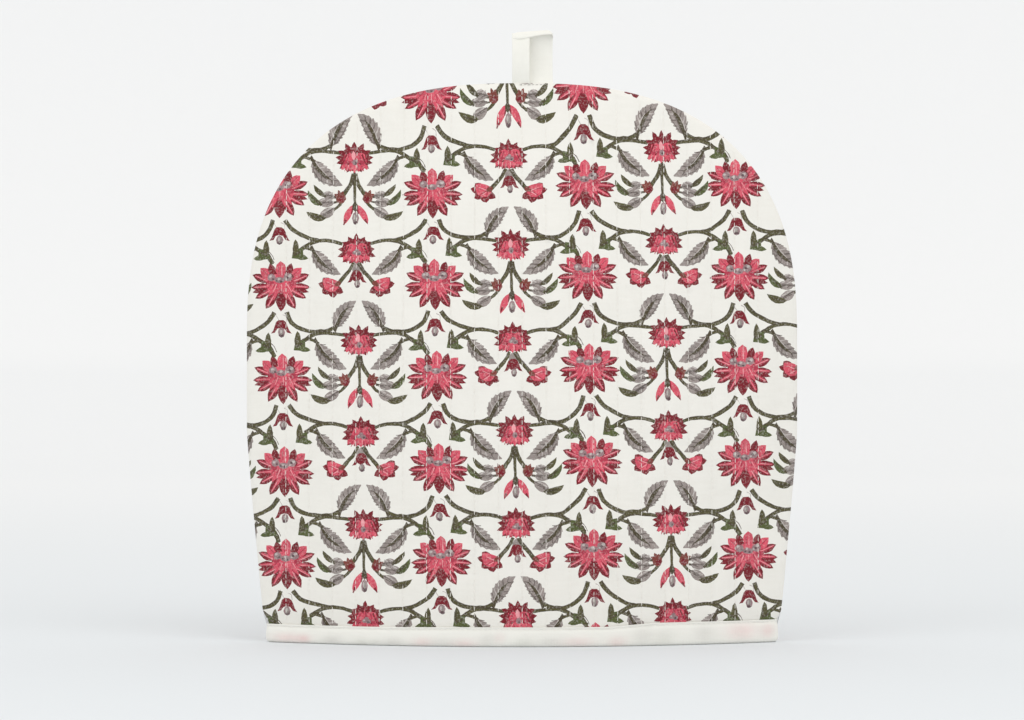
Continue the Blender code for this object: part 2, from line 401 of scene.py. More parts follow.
def lotus_petal(chart: Chart, petal: Petal) -> None:
    """Adds one petal of the large flower, with a pale line down the lined ones.

    Args:
        chart: The chart to draw on.
        petal: The petal's places, width and ink.
    """
    (bx, by), (tx, ty) = petal.base, petal.tip
    chart.blade(petal.base, petal.tip, petal.width, petal.ink, 0.5, 0.0, 0.85)
    if petal.lined:
        start = bx + (tx - bx) * 0.05, by + (ty - by) * 0.05
        end = bx + (tx - bx) * 0.84, by + (ty - by) * 0.84
        chart.ribbon([start, end], 4.0, 1.8, Ink.ROSE)
        chart.ribbon([start, end], 2.2, 0.9, Ink.CORAL)
        chart.ribbon([start, end], 0.7, 0.4, Ink.BLUSH)
    elif petal.ink is Ink.CORAL:
        end = bx + (tx - bx) * 0.82, by + (ty - by) * 0.82
        chart.ribbon([petal.base, end], 1.4, 0.7, Ink.ROSE)


def pendant() -> Chart:
    """Charts the bell that hangs under a large flower on two fine threads.

    Returns:
        The chart, its flower's centre at 0, 0.
    """
    chart = Chart()
    chart.ribbon([(-7, -27), (-4.5, -32), (-2, -36)], 0.7, 0.6, Ink.MIST)
    chart.ribbon([(1.5, -30), (5, -32), (5.5, -37)], 0.8, 0.6, Ink.MIST)
    bell_skirt(chart, -35.5, 1.0)
    tongue(chart, (0.7, -48.0), 7.4, 9.6)
    return chart


def bell_skirt(chart: Chart, top: float, size: float) -> None:
    """Adds a maroon skirt with two feet under a given height.

    Args:
        chart: The chart to draw on.
        top: The height of its waist.
        size: Its scale.
    """
    half = ((2.6, 0.4), (5.4, -1.6), (7.2, -6), (8.6, -10), (11.2, -13.4), (6.6, -12.4), (3.6, -8.6))
    right = [(x * size, top + y * size) for x, y in half]
    left = [(-x * size * 0.88, top + y * size) for x, y in half]
    middle = (0.2, top - 7.6 * size)
    chart.fill([*right, middle, *reversed(left)], Ink.MAROON)


def tongue(chart: Chart, centre: Point, across: float, up: float) -> None:
    """Adds a grey seed tongue with its dark rim.

    Args:
        chart: The chart to draw on.
        centre: Its middle.
        across: Its width.
        up: Its height.
    """
    chart.oval(centre, across, up, Ink.HUSK)
    chart.oval((centre[0], centre[1] - up * 0.3), across * 0.7, up * 0.38, Ink.SOOT)
    chart.oval((centre[0] - 0.2, centre[1] + 0.6), across * 0.6, up * 0.6, Ink.LEAF)
    chart.oval((centre[0] - 0.8, centre[1] + 1.0), across * 0.26, up * 0.42, Ink.MIST)


def garland(chart: Chart, up_to: dict[int, Point], on_to: dict[int, Point], plain: bool) -> None:
    """Adds the vines from the flowers above, the nodes with their sepals and drooping leaves.

    Args:
        chart: The small flower's chart.
        up_to: How far the large flower above on each side is off its charted place.
        on_to: The same for the large flower level with this one.
        plain: True for the flower whose vines carry no upright leaves.
    """
    for way in (-1, 1):
        chart.way = way
        ox, oy = up_to[way][0] * way, up_to[way][1]
        nx, ny = on_to[way][0] * way, on_to[way][1]
        if plain:
            far = [(69.5 + ox, 30.5 + oy), (63 + ox * 0.8, 21.5 + oy * 0.8)]
            vine = [*far, (54 + ox * 0.4, 15.5 + oy * 0.4), (46, 11.5), (37, 9.6)]
            stem = [(14, 6), (23, 8.8), (34, 9.8), (44, 8), (51, 4), (57, 0)]
        else:
            far = [(69.5 + ox, 30.5 + oy), (65.5 + ox * 0.8, 20 + oy * 0.8)]
            vine = [*far, (57 + ox * 0.4, 13 + oy * 0.4), (45, 9.4), (33, 10), (24, 14)]
            stem = [(14, 6), (26, 7.6), (38, 8.4), (47, 6), (53, 2), (58, -1)]
            chart.ribbon([(30, 8.8), (38, 9.6), (47, 8.2)], 4.6, 4.6, Ink.OLIVE)
        chart.vine(vine, 4.6, 3.8)
        chart.vine(stem, 3.4, 4.4)
        chart.vine([(53, 3), (46, 0.8), (40, -2.4)], 3.2, 3.0)
        x, y = 60 + nx * 0.4, -2 + ny * 0.4
        if way > 0:
            chart.vine([(x + 3, y - 2), (x + 6, y - 7), (67.5 + nx, -13 + ny)], 5.0, 4.4)
            chart.ribbon([(x + 1, y + 4), (x + 7, y - 1), (x + 10, y - 7)], 0.9, 0.7, Ink.VEIN)
        knot = [(-6, 4.5), (4, 3), (5.6, -6), (-1, -6.6), (-6.4, -5)]
        chart.fill([(x + dx, y + dy) for dx, dy in knot], Ink.MOSS)
        chart.blade((x + 2, y - 4), (x + 1.6, y + 13), 6.4, Ink.OLIVE, 0.42, 0.03, 0.6)
        chart.ribbon([(x + 3.2, y - 2), (x + 2.4, y + 9)], 1.8, 0.7, Ink.BARK)
        chart.blade((x + 2, y - 3.5), (x - 11.5, y - 6), 5.8, Ink.MOSS, 0.45, 0.0, 0.7)
        chart.ribbon([(x - 4, y + 1), (x + 3, y - 3)], 2.2, 1.4, Ink.BARK)
        if plain:
            chart.leaf((44, 0.5), (15.5, -24.5), 16.5, 0.10, 7)
        else:
            chart.leaf((42.5, -1), (12, -27), 17.5, 0.10, 8)
    chart.way = 1


def spray(chart: Chart) -> None:
    """Adds one side of the budding spray that hangs under the small flower.

    Args:
        chart: The chart to draw on.
    """
    chart.vine([(1, -15), (3.4, -25), (8, -32.5), (12, -38)], 3.8, 4.4)
    chart.ribbon([(17, -39), (24, -38.5)], 2.6, 2.2, Ink.BARK)
    chart.ribbon([(17, -43.5), (25, -45)], 2.2, 2.2, Ink.BARK)
    chart.vine([(12, -43), (16, -48), (21, -52)], 3.4, 2.6)
    for base, tip, width in (
        ((19.5, -38), (32, -34.5), 8.6), ((20, -44), (37, -42.5), 9.4), ((20, -49.5), (35.5, -58), 10.0)
    ):
        (bx, by), (tx, ty) = base, tip
        chart.blade(base, tip, width, Ink.LEAF, 0.5, -0.06, 0.6)
        for share in (0.35, 0.7):
            x, y = bx + (tx - bx) * share, by + (ty - by) * share
            chart.ribbon([(x - 2.5, y + 2.6), (x + 2, y + 0.6)], 1.4, 0.7, Ink.MIST)
            chart.ribbon([(x - 3, y - 0.6), (x + 2, y - 3)], 1.3, 0.7, Ink.VEIN)
        chart.ribbon([base, (tx, ty - 1.2)], 1.3, 0.8, Ink.VEIN)
    chart.blade((28.5, -38), (41.5, -25.5), 5.4, Ink.OLIVE, 0.45, -0.10, 0.75)
    chart.blade((32, -46.5), (47, -31.5), 6.6, Ink.MOSS, 0.42, -0.14, 0.75)
    chart.blade((28, -59.5), (49, -53), 7.2, Ink.OLIVE, 0.45, -0.12, 0.7)
    for base, tip in (((29, -38.5), (39, -29)), ((33, -47), (44, -37)), ((30, -60), (44, -57))):
        chart.ribbon([base, tip], 2.4, 0.8, Ink.BARK)
    chart.oval((13.5, -39.8), 10.5, 11, Ink.RUST, 10)
    for tip in ((16.5, -31.5), (20.5, -35.5), (11.5, -32.5)):
        chart.blade((13.5, -39), tip, 4.0, Ink.RUST, 0.4, blunt=0.8)
    chart.oval((12.6, -41), 6, 6, Ink.MAROON)


def small_crown(chart: Chart, tips: tuple[Point, ...]) -> None:
    """Adds a small flower's ring of narrow maroon points and its maroon ground.

    Args:
        chart: The chart to draw on.
        tips: The points' tips on the right half.
    """
    for x, y in tips:
        base, tip = (x * 0.3, y * 0.3), (x, y)
        for way in (-1, 1):
            chart.way = way
            chart.blade(base, tip, 5.6, Ink.MAROON, 0.45, blunt=0.75, steps=4)
    chart.way = 1
    chart.blade((0, 5), (-0.4, 17.2), 5.2, Ink.MAROON, 0.45, blunt=0.75, steps=4)
    chart.oval((0.3, -0.2), 31.5, 25.5, Ink.MAROON)


def small_face(chart: Chart, fringe: tuple[float, ...]) -> None:
    """Adds a small flower's coral face with its streaks and its fringed lower edge.

    Args:
        chart: The chart to draw on.
        fringe: Where each tooth of the lower edge stands across.
    """
    chart.oval((0.3, -2.6), 25, 16.5, Ink.ROSE)
    for at, across, up in (((-5.6, 1.6), 9, 8), ((6.4, 2.2), 9, 8.4), ((0, -7.4), 19, 6.4)):
        chart.oval(at, across, up, Ink.CORAL)
    for x in (-9, -4.6, 4.2, 9.2):
        chart.blade((x * 0.6, -1), (x * 1.12, 8.4 - abs(x) * 0.42), 4.4, Ink.CORAL, 0.5, blunt=0.8)
    for x in fringe:
        tip = (x * 1.08, -14.2 + abs(x) * 0.26)
        chart.blade((x * 0.8, -5), tip, 4.0, Ink.CORAL, 0.5, blunt=0.75, steps=4)
    for x in (-11, -7.4, 6.8, 10.6):
        chart.ribbon([(x * 0.7, 4.6), (x * 1.12, -6)], 1.9, 0.8, Ink.ROSE if abs(x) < 9 else Ink.MAROON)
    for x in (-5.6, 5.2):
        chart.ribbon([(x * 0.9, -4.6), (x * 1.3, -6.2)], 1.7, 1.0, Ink.MAROON)
    for x in (-9, -4, 3.5, 8.5):
        chart.ribbon([(x * 0.9, -7.5), (x * 1.1, -13)], 1.2, 0.7, Ink.ROSE)
    for x in (-6.5, 1.6):
        chart.ribbon([(x * 0.9, -6.5), (x * 1.1, -12)], 0.9, 0.5, Ink.BLUSH)


def daisy() -> Chart:
    """Charts the small flower over a spray of buds.

    Returns:
        The chart, its flower's centre at 0, 0.
    """
    chart = Chart()
    chart.both(lambda: chart.leaf((24, 13), (2.5, 40.5), 16.5, -0.10, 8))
    chart.both(lambda: spray(chart))
    chart.fill([(-1, -13), (1, -13), (3.6, -24), (0, -29), (-3.6, -24)], Ink.BARK)
    chart.vine([(0, -22), (0.4, -36), (0.8, -48)], 3.0, 2.6)
    tongue(chart, (1.4, -60), 6.8, 13)
    for way, foot in ((-1, (-10.5, -67)), (1, (14.0, -66))):
        chart.blade((0.8 + way * 1.4, -46), foot, 7.0, Ink.CORAL, 0.48, 0.03 * way, 0.85)
        chart.ribbon([(foot[0] * 0.78, -61.5), foot], 2.6, 0.8, Ink.MAROON)
        chart.ribbon([(0.8 + way * 1.2, -47), (way * 3.4 + 0.9, -56)], 2.6, 0.8, Ink.MAROON)
    chart.blade((0.6, -43), (1.1, -54), 5.4, Ink.BARK, 0.5, blunt=0.7)
    small_crown(chart, DAISY_TIPS)
    small_face(chart, (-12, -8, -4, 0, 4, 8, 12))
    chart.blade((-0.3, -1.5), (-0.9, 8), 4.2, Ink.BLUSH, 0.5, blunt=0.7)
    chart.oval((0.4, -3.6), 5.4, 6.4, Ink.HUSK)
    chart.oval((1.2, -4.4), 2.4, 3, Ink.SOOT)
    return chart


def aster() -> Chart:
    """Charts the small flower over two blossoms and a bell bud.

    Returns:
        The chart, its flower's centre at 0, 0.
    """
    chart = Chart()
    for way in (-1, 1):
        chart.vine([(way * 3, -13), (way * 7, -21), (way * 13, -28), (way * 18, -34)], 3.0, 4.4)
    chart.blade((0, -25), (0.5, -13), 9, Ink.LEAF, 0.4, blunt=0.6)
    chart.ribbon([(1, -14), (5, -20), (8, -25)], 1.8, 2.0, Ink.BARK)
    chart.ribbon([(3.5, -15), (9, -21), (15, -28)], 0.8, 0.7, Ink.VEIN)
    bell_skirt(chart, -20.5, 0.92)
    chart.blade((0, -32), (0, -20), 9.5, Ink.MAROON, 0.5, blunt=0.5)
    tongue(chart, (1.2, -34), 6.2, 8.4)
    chart.both(lambda: blossom(chart))
    small_crown(chart, ASTER_TIPS)
    small_face(chart, (-12.4, -8.4, -4.2, 0, 4.2, 8.4, 12.4))
    chart.ribbon([(-1.4, 2), (-1.2, 10)], 1.4, 0.6, Ink.CORAL)
    for at, size in (((-1.6, -2.6), 4.2), ((2.4, -3.4), 4.8), ((0.4, -0.4), 3.8)):
        chart.oval(at, size * 1.2, size, Ink.HUSK, 15)
    chart.oval((2.6, -3.8), 2.6, 2.2, Ink.SOOT)
    chart.oval((-1.6, -1.8), 2.2, 1.5, Ink.MIST)
    return chart


def blossom(chart: Chart) -> None:
    """Adds the side blossom under an aster: maroon points round a coral face.

    Args:
        chart: The chart to draw on.
    """
    heart = (25.0, -36.5)
    for tip, width in (
        ((34.0, -27.5), 9.0),
        ((38.6, -33.4), 7.4),
        ((34.6, -43.0), 9.0),
        ((22.5, -47.5), 9.5),
        ((13.2, -42.6), 8.0),
    ):
        chart.blade(heart, tip, width, Ink.MAROON, 0.5, blunt=0.7)
    face = [(18.5, -32), (23, -30), (29, -28.4), (33.5, -29.2), (33.6, -34), (32, -39.5), (27, -42.5),
            (21.5, -42), (18, -38.5)]
    chart.fill(face, Ink.CORAL)
    for tip in ((32.5, -33), (29.5, -40), (22.5, -40.5)):
        chart.ribbon([(21, -34), tip], 1.6, 0.8, Ink.ROSE)
    chart.ribbon([(22, -35.5), (30, -32)], 1.1, 0.6, Ink.BLUSH)
    chart.ribbon([(22.5, -37), (27.5, -40)], 1.0, 0.6, Ink.BLUSH)
    chart.blade((16, -32.5), (22.5, -36.5), 5.4, Ink.RUST, 0.4, blunt=0.7)


class Column(NamedTuple):
    """One column of the print: the place of its row 0, and the step from row to row."""

    x: float
    z: float
    lean: float
    drop: float


LOTUS_COLUMNS = (
    Column(-0.2370, 0.2690, 0.0012, 0.0554),
    Column(-0.1454, 0.2692, 0.0012, 0.0554),
    Column(-0.0532, 0.2691, 0.0014, 0.0546),
    Column(0.0376, 0.2741, 0.0012, 0.0548),
    Column(0.1278, 0.2749, 0.0018, 0.0556),
    Column(0.2180, 0.2752, 0.0018, 0.0556),
)
SMALL_COLUMNS = (
    Column(-0.1900, 0.2340, 0.0014, 0.0548),
    Column(-0.0986, 0.2346, 0.0015, 0.0546),
    Column(-0.0067, 0.2362, 0.0011, 0.0547),
    Column(0.0845, 0.2397, 0.0012, 0.0553),
    Column(0.1752, 0.2400, 0.0014, 0.0554),
)


@dataclass
class BlockPrint:
    """The vine print of one panel, set by hand in leaning columns with slips of the block."""

    step: float = 0.000594
    half_pitch: float = 0.0450
    above: float = 0.0345
    shift: Point = (0.0, 0.0)
    rows: tuple[int, ...] = (-2, -1, 0, 1, 2, 3, 4, 5)
    swap: int = 0
    seed: int = 7
    wobble: float = 0.24
    register: float = 0.55

    def place(self, column: Column, row: int) -> Point:
        """Returns the centre of a flower."""
        return self.shift[0] + column.x + row * column.lean, self.shift[1] + column.z - row * column.drop

    def off_place(self, at: Point, other: Point, charted: Point) -> Point:
        """Returns how far another flower is from its charted place, in chart steps.

        Args:
            at: The place it is seen from.
            other: The other flower's centre.
            charted: Where the chart has that centre, in metres from the first place.

        Returns:
            The steps across and up.
        """
        return (
            (other[0] - at[0] - charted[0]) / self.step,
            (other[1] - at[1] - charted[1]) / self.step,
        )

    def stamp(self, chart: Chart, at: Point, draws: random.Random) -> list[Patch]:
        """Sets a chart down on the cloth.

        Args:
            chart: The motif.
            at: Its centre in metres.
            draws: The source of this print's small slips.

        Returns:
            The patches in metres, each ink a little off register and each edge a little uneven.
        """
        slips = {ink: (draws.gauss(0, 0.4), draws.gauss(0, 0.4)) for ink in Ink}
        made = []
        for patch in chart.patches:
            dx, dy = slips[patch.ink]
            outline = []
            for x, y in patch.outline:
                sx = dx * self.register + draws.uniform(-1, 1) * self.wobble
                sy = dy * self.register + draws.uniform(-1, 1) * self.wobble
                outline.append(self.over_crown(at[0] + (x + sx) * self.step, at[1] + (y + sy) * self.step))
            made.append(Patch(outline, patch.ink))
        return made

    def over_crown(self, x: float, z: float) -> Point:
        """Returns a place of the print where the cloth bends away to the crown's seam."""
        return x, z + 0.0036 * smooth(z, 0.296, 0.318) + 0.0024 * smooth(z, 0.320, 0.332)

    def patches(self) -> list[Patch]:
        """Returns the whole print in painter's order.

        Returns:
            The patches in metres: all large flowers, then all vines and small flowers.
        """
        draws = random.Random(self.seed)
        under, over = [], []
        below = self.above - SMALL_COLUMNS[0].drop
        for row in self.rows:
            for column in LOTUS_COLUMNS:
                at = self.place(column, row)
                under += self.stamp(lotus(), at, draws) + self.stamp(pendant(), at, draws)
            for index, column in enumerate(SMALL_COLUMNS):
                at = self.place(column, row)
                above, beside = {}, {}
                for way in (-1, 1):
                    near = LOTUS_COLUMNS[index + (way + 1) // 2]
                    across = way * self.half_pitch
                    above[way] = self.off_place(at, self.place(near, row), (across, self.above))
                    beside[way] = self.off_place(at, self.place(near, row + 1), (across, below))
                plain = (row + index + self.swap) % 2 == 1
                vines = Chart()
                garland(vines, above, beside, plain)
                over += self.stamp(vines, at, draws)
                over += self.stamp(aster() if plain else daisy(), at, draws)
        return under + over


class Fold(NamedTuple):
    """A crease: its middle, half length, half width, turn and height."""

    x: float
    z: float
    across: float
    up: float
    turn: float
    height: float


FRONT_FOLDS = (
    Fold(-0.0276, 0.1467, 0.0070, 0.0018, 0.05, -0.0006),
    Fold(-0.1200, 0.1995, 0.0070, 0.0018, -0.04, -0.0006),
    Fold(-0.1164, 0.1395, 0.0075, 0.0020, 0.03, -0.0006),
    Fold(-0.0738, 0.0837, 0.0070, 0.0018, -0.05, -0.0005),
    Fold(-0.0180, 0.2499, 0.0075, 0.0020, 0.04, -0.0006),
    Fold(-0.0252, 0.3081, 0.0060, 0.0018, 0.08, -0.0005),
    Fold(0.0640, 0.1930, 0.0085, 0.0022, 0.06, -0.0005),
    Fold(0.0980, 0.1180, 0.0080, 0.0020, -0.05, -0.0005),
    Fold(0.0300, 0.0620, 0.0080, 0.0022, 0.04, -0.0006),
    Fold(-0.1010, 0.0520, 0.0120, 0.0030, 0.25, -0.0008),
    Fold(0.1130, 0.0560, 0.0140, 0.0032, -0.30, -0.0008),
    Fold(0.1290, 0.2150, 0.0120, 0.0026, -0.35, -0.0006),
    Fold(-0.1330, 0.2250, 0.0120, 0.0026, 0.40, -0.0006),
    Fold(0.0010, 0.0320, 0.0260, 0.0040, 0.03, 0.0006),
)
BACK_FOLDS = (
    Fold(0.0500, 0.2300, 0.0075, 0.0020, 0.05, -0.0006),
    Fold(-0.0650, 0.1700, 0.0080, 0.0020, -0.06, -0.0006),
    Fold(0.1000, 0.0900, 0.0130, 0.0032, 0.28, -0.0008),
    Fold(-0.1060, 0.0640, 0.0130, 0.0030, -0.30, -0.0008),
    Fold(0.0050, 0.1200, 0.0085, 0.0022, 0.02, -0.0006),
    Fold(-0.0020, 0.0340, 0.0240, 0.0040, -0.04, 0.0006),
)


@dataclass
class CosyForm:
    """The cosy's cut and the way its cloth stands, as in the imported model."""

    low: Any
    high: Any
    shoulder_z: float = 0.1810
    dome_power: float = 2.55
    taper_from_z: float = 0.1260
    taper_power: float = 1.1
    hem_half: float = 0.1536
    hem_tuck: float = 0.0030
    hem_tuck_to: float = 0.0200
    binding_height: float = 0.0106
    mouth_half_depth: float = 0.0430
    lean_power: float = 2.2
    seam_gap: float = 0.0003
    thick: float = 0.0032
    hem_thick: float = 0.0024
    rim_thick: float = 0.0008
    rim_rounding: float = 0.0042
    channel: float = 0.0141
    valley_depth: float = 0.0008
    lining_valley: float = 0.0004
    pucker_height: float = 0.0006
    pinch_from: float = 0.0100
    pinch_to: float = 0.0280
    ripples: tuple[tuple[float, ...], ...] = (
        (0.00110, 0.190, 0.230, 0.8, 0.4),
        (0.00060, 0.083, 0.310, -1.1, 1.3),
        (0.00045, 0.131, 0.120, 2.3, 2.1),
    )

    def __post_init__(self) -> None:
        """Takes the width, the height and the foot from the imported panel."""
        self.shoulder_half = self.high[0]
        self.height = self.high[2]
        self.foot = self.low[2]
        self.rim = self.outline(0.0016)
        seam = self.outline(0.0004)
        self.tree = kdtree.KDTree(len(seam))
        for index, (x, z) in enumerate(seam):
            self.tree.insert((x, 0, z), index)
        self.tree.balance()

    def half_width(self, z: float) -> float:
        """Returns half the panel's width at a height.

        Args:
            z: Height in metres.

        Returns:
            Metres from the middle to the seam.
        """
        if z >= self.shoulder_z:
            rise = (z - self.shoulder_z) / (self.height - self.shoulder_z)
            return self.shoulder_half * max(0.0, 1 - rise**self.dome_power) ** (1 / self.dome_power)
        if z >= self.taper_from_z:
            return self.shoulder_half
        drop = (self.taper_from_z - z) / self.taper_from_z
        tuck = self.hem_tuck * (1 - smooth(z, self.binding_height, self.hem_tuck_to))
        return self.shoulder_half - (self.shoulder_half - self.hem_half) * drop**self.taper_power - tuck

    def outline(self, step: float) -> list[Point]:
        """Returns points up the right side, over the dome and down the left side.

        Args:
            step: About the distance between points.

        Returns:
            The points in the panel's plane.
        """
        sides = int((self.shoulder_z - self.foot) / step)
        side = []
        for index in range(sides):
            z = self.foot + (self.shoulder_z - self.foot) * index / sides
            side.append((self.half_width(z), z))
        turns = int(math.pi * self.shoulder_half / step)
        dome = []
        for index in range(turns + 1):
            turn = math.pi * index / turns
            across = math.copysign(abs(math.cos(turn)) ** (2 / self.dome_power), math.cos(turn))
            up = abs(math.sin(turn)) ** (2 / self.dome_power)
            rise = self.height - self.shoulder_z
            dome.append((self.shoulder_half * across, self.shoulder_z + rise * up))
        return side + dome + [(-x, z) for x, z in reversed(side)]

    def share_across(self, x: float, z: float) -> float:
        """Returns how far x is from the middle to the seam, from 0 to 1."""
        return min(1.0, abs(x) / max(self.half_width(z), 1e-6))

    def lift(self, x: float, z: float) -> float:
        """Returns how far the lining stands from the seam's plane, before its unevenness."""
        lean = 1 - (max(z, 0.0) / self.height) ** self.lean_power
        return self.mouth_half_depth * max(0.0, lean) * (1 - self.share_across(x, z) ** 2)

    def ripple(self, x: float, z: float, side: int) -> float:
        """Returns the cloth's soft unevenness, which dies out at the seam and the hem.

        Args:
            x: Metres to the right of the middle.
            z: Height in metres.
            side: FRONT or BACK.

        Returns:
            Metres outwards.
        """
        waves = sum(
            height
            * math.sin(math.tau * x / across + turn_x + side)
            * math.sin(math.tau * z / up + turn_z + 0.5 * side)
            for height, across, up, turn_x, turn_z in self.ripples
        )
        free = (1 - self.share_across(x, z) ** 4) * smooth(z, 0.015, 0.080)
        return waves * free * smooth(self.height - z, 0.0, 0.06)

    def pucker(self, x: float, z: float, side: int) -> float:
        """Returns the small cross folds that the quilting thread draws up in each channel.

        Args:
            x: Metres to the right of the middle.
            z: Height in metres.
            side: FRONT or BACK.

        Returns:
            Metres outwards, less than 0 in a crease.
        """
        channel = math.floor(x / self.channel)
        across = math.sin(math.pi * (x / self.channel - channel))
        drawn = noise.noise(Vector((channel * 3.7 + side * 11, z * 105, 0.5)))
        long = noise.noise(Vector((channel * 1.9 + side * 5, z * 28, 4.5)))
        folds = 0
        for fold in FRONT_FOLDS if side == FRONT else BACK_FOLDS:
            if abs(x - fold.x) < 3 * fold.across:
                cos, sin = math.cos(fold.turn), math.sin(fold.turn)
                along = bump_shape((x - fold.x) * cos + (z - fold.z) * sin, fold.across)
                folds += fold.height * along * bump_shape((z - fold.z) * cos - (x - fold.x) * sin, fold.up)
        return across * (self.pucker_height * drawn + 0.5 * self.pucker_height * long) + folds

    def valley(self, x: float) -> float:
        """Returns 1 on a quilting line and 0 half a channel away from it."""
        return abs(math.cos(math.pi * x / self.channel)) ** 6

    def seam_distance(self, x: float, z: float) -> float:
        """Returns the distance in the panel's plane to the seam round its sides and dome."""
        return self.tree.find((x, 0, z))[2]

    def thickness(self, z: float, distance: float) -> float:
        """Returns the quilted cloth's thickness, rounded down to the turned seam.

        Args:
            z: Height in metres.
            distance: Metres to the seam.

        Returns:
            Metres.
        """
        inward = min(distance, self.rim_rounding) / self.rim_rounding
        rounded = math.sqrt(1 - (1 - inward) ** 2)
        grown = smooth(z, self.pinch_from, self.pinch_to)
        full = self.hem_thick + (self.thick - self.hem_thick) * grown
        return self.rim_thick + (full - self.rim_thick) * rounded

    def depths(self, x: float, z: float, side: int) -> Point:
        """Returns the (inner, outer) distances of a panel's faces from the seam's plane.

        Args:
            x: Metres to the right of the middle.
            z: Height in metres.
            side: FRONT or BACK.

        Returns:
            Metres to the lining's face and to the printed face.
        """
        distance = self.seam_distance(x, z)
        inner = self.seam_gap / 2 + max(0.0, self.lift(x, z) + self.ripple(x, z, side))
        free = smooth(distance, 0.0, 0.010) * smooth(z, self.pinch_from, self.pinch_to)
        outer = inner + self.thickness(z, distance) + self.pucker(x, z, side) * free
        quilted = self.valley(x) * smooth(distance, 0.0, 2 * self.rim_rounding)
        quilted *= smooth(z, self.pinch_from, self.pinch_to)
        return inner + self.lining_valley * quilted, outer - self.valley_depth * quilted


@dataclass(frozen=True)
class Cotton:
    """Bleached plain-weave cotton: a soft, dull, faintly slubbed surface with no gloss."""

    name: str
    ground: str = "EBE9E3"
    shade: str = "E0DDD5"
    thread: float = 0.0009
    printed: bool = False
    relief: float = 0.00006

    def material(self) -> bpy.types.Material:
        """Returns the finish as a node material.

        Returns:
            The material.
        """
        made = bpy.data.materials.new(self.name)
        made.use_nodes = True
        tree = made.node_tree
        shader = tree.nodes["Principled BSDF"]
        shader.inputs["Metallic"].default_value = 0.0
        shader.inputs["Roughness"].default_value = 0.9
        shader.inputs["IOR"].default_value = 1.5
        shader.inputs["Specular IOR Level"].default_value = 0.25
        shader.inputs["Sheen Weight"].default_value = 0.06
        shader.inputs["Sheen Roughness"].default_value = 0.6
        place = add_node(tree, "ShaderNodeTexCoord", {}, {}).outputs["Object"]
        weave = self.weave(tree, place)
        slub = self.noise(tree, place, (0.010, 0.010, 0.0022), 2.0)
        mottle = self.noise(tree, place, (0.030, 0.030, 0.030), 3.0)
        tone = add_node(tree, "ShaderNodeMath", {"operation": "MULTIPLY"}, {0: slub, 1: mottle})
        colour = add_node(
            tree,
            "ShaderNodeMix",
            {"data_type": "RGBA"},
            {0: tone.outputs[0], 6: linear(self.ground), 7: linear(self.shade)},
        ).outputs[2]
        if self.printed:
            colour = self.ink_over(tree, place, colour)
        tree.links.new(colour, shader.inputs["Base Color"])
        height = add_node(
            tree, "ShaderNodeMath", {"operation": "MULTIPLY_ADD"}, {0: slub, 1: 0.6, 2: weave}
        )
        bump = add_node(
            tree,
            "ShaderNodeBump",
            {},
            {"Strength": 1.0, "Distance": self.relief, "Height": height.outputs[0]},
        )
        tree.links.new(bump.outputs["Normal"], shader.inputs["Normal"])
        return made

    def weave(self, tree: Any, place: Any) -> Any:
        """Returns the height of crossing threads, 0 to 1, drawn at twice the real thread's pitch.

        Args:
            tree: The material's node tree.
            place: The output with Object coordinates.

        Returns:
            The output with the height.
        """
        heights = []
        for direction in ("X", "Z"):
            heights.append(
                add_node(
                    tree,
                    "ShaderNodeTexWave",
                    {"wave_type": "BANDS", "bands_direction": direction, "wave_profile": "SIN"},
                    {"Vector": place, "Scale": math.tau / 20 / self.thread, "Distortion": 0.6,
                     "Detail": 1.0, "Detail Scale": 2.0},
                ).outputs["Fac"]
            )
        return add_node(
            tree, "ShaderNodeMath", {"operation": "MULTIPLY"}, {0: heights[0], 1: heights[1]}
        ).outputs[0]

    def noise(self, tree: Any, place: Any, sizes: tuple[float, ...], detail: float) -> Any:
        """Returns a noise value whose grains have the given sizes in metres.

        Args:
            tree: The material's node tree.
            place: The output with Object coordinates.
            sizes: A grain's size along each axis.
            detail: The noise's octaves.

        Returns:
            The output with the value.
        """
        spread = add_node(
            tree, "ShaderNodeMapping", {}, {"Vector": place, "Scale": tuple(1 / s for s in sizes)}
        )
        return add_node(
            tree,
            "ShaderNodeTexNoise",
            {},
            {"Vector": spread.outputs[0], "Scale": 1.0, "Detail": detail, "Roughness": 0.6},
        ).outputs["Fac"]

    def ink_over(self, tree: Any, place: Any, ground: Any) -> Any:
        """Returns the ground colour with the print's inks over it, unevenly taken up.

        Args:
            tree: The material's node tree.
            place: The output with Object coordinates.
            ground: The bare cloth's colour.

        Returns:
            The output with the colour.
        """
        print_at = add_node(tree, "ShaderNodeAttribute", {"attribute_name": "print"}, {})
        grain = self.noise(tree, place, (0.0011, 0.0011, 0.0011), 2.0)
        cloud = self.noise(tree, place, (0.007, 0.007, 0.007), 3.0)
        depth = add_node(
            tree,
            "ShaderNodeMapRange",
            {},
            {"Value": cloud, "From Min": 0.3, "From Max": 0.7, "To Min": 0.86, "To Max": 1.14},
        ).outputs[0]
        toned = add_node(
            tree, "ShaderNodeHueSaturation", {}, {"Color": print_at.outputs["Color"], "Value": depth}
        ).outputs[0]
        taken = add_node(
            tree,
            "ShaderNodeMapRange",
            {},
            {"Value": grain, "From Min": 0.28, "From Max": 0.5, "To Min": 0.72, "To Max": 1.0},
        ).outputs[0]
        cover = add_node(
            tree, "ShaderNodeMath", {"operation": "MULTIPLY"}, {0: taken, 1: print_at.outputs["Alpha"]}
        ).outputs[0]
        return add_node(
            tree, "ShaderNodeMix", {"data_type": "RGBA"}, {0: cover, 6: ground, 7: toned}
        ).outputs[2]


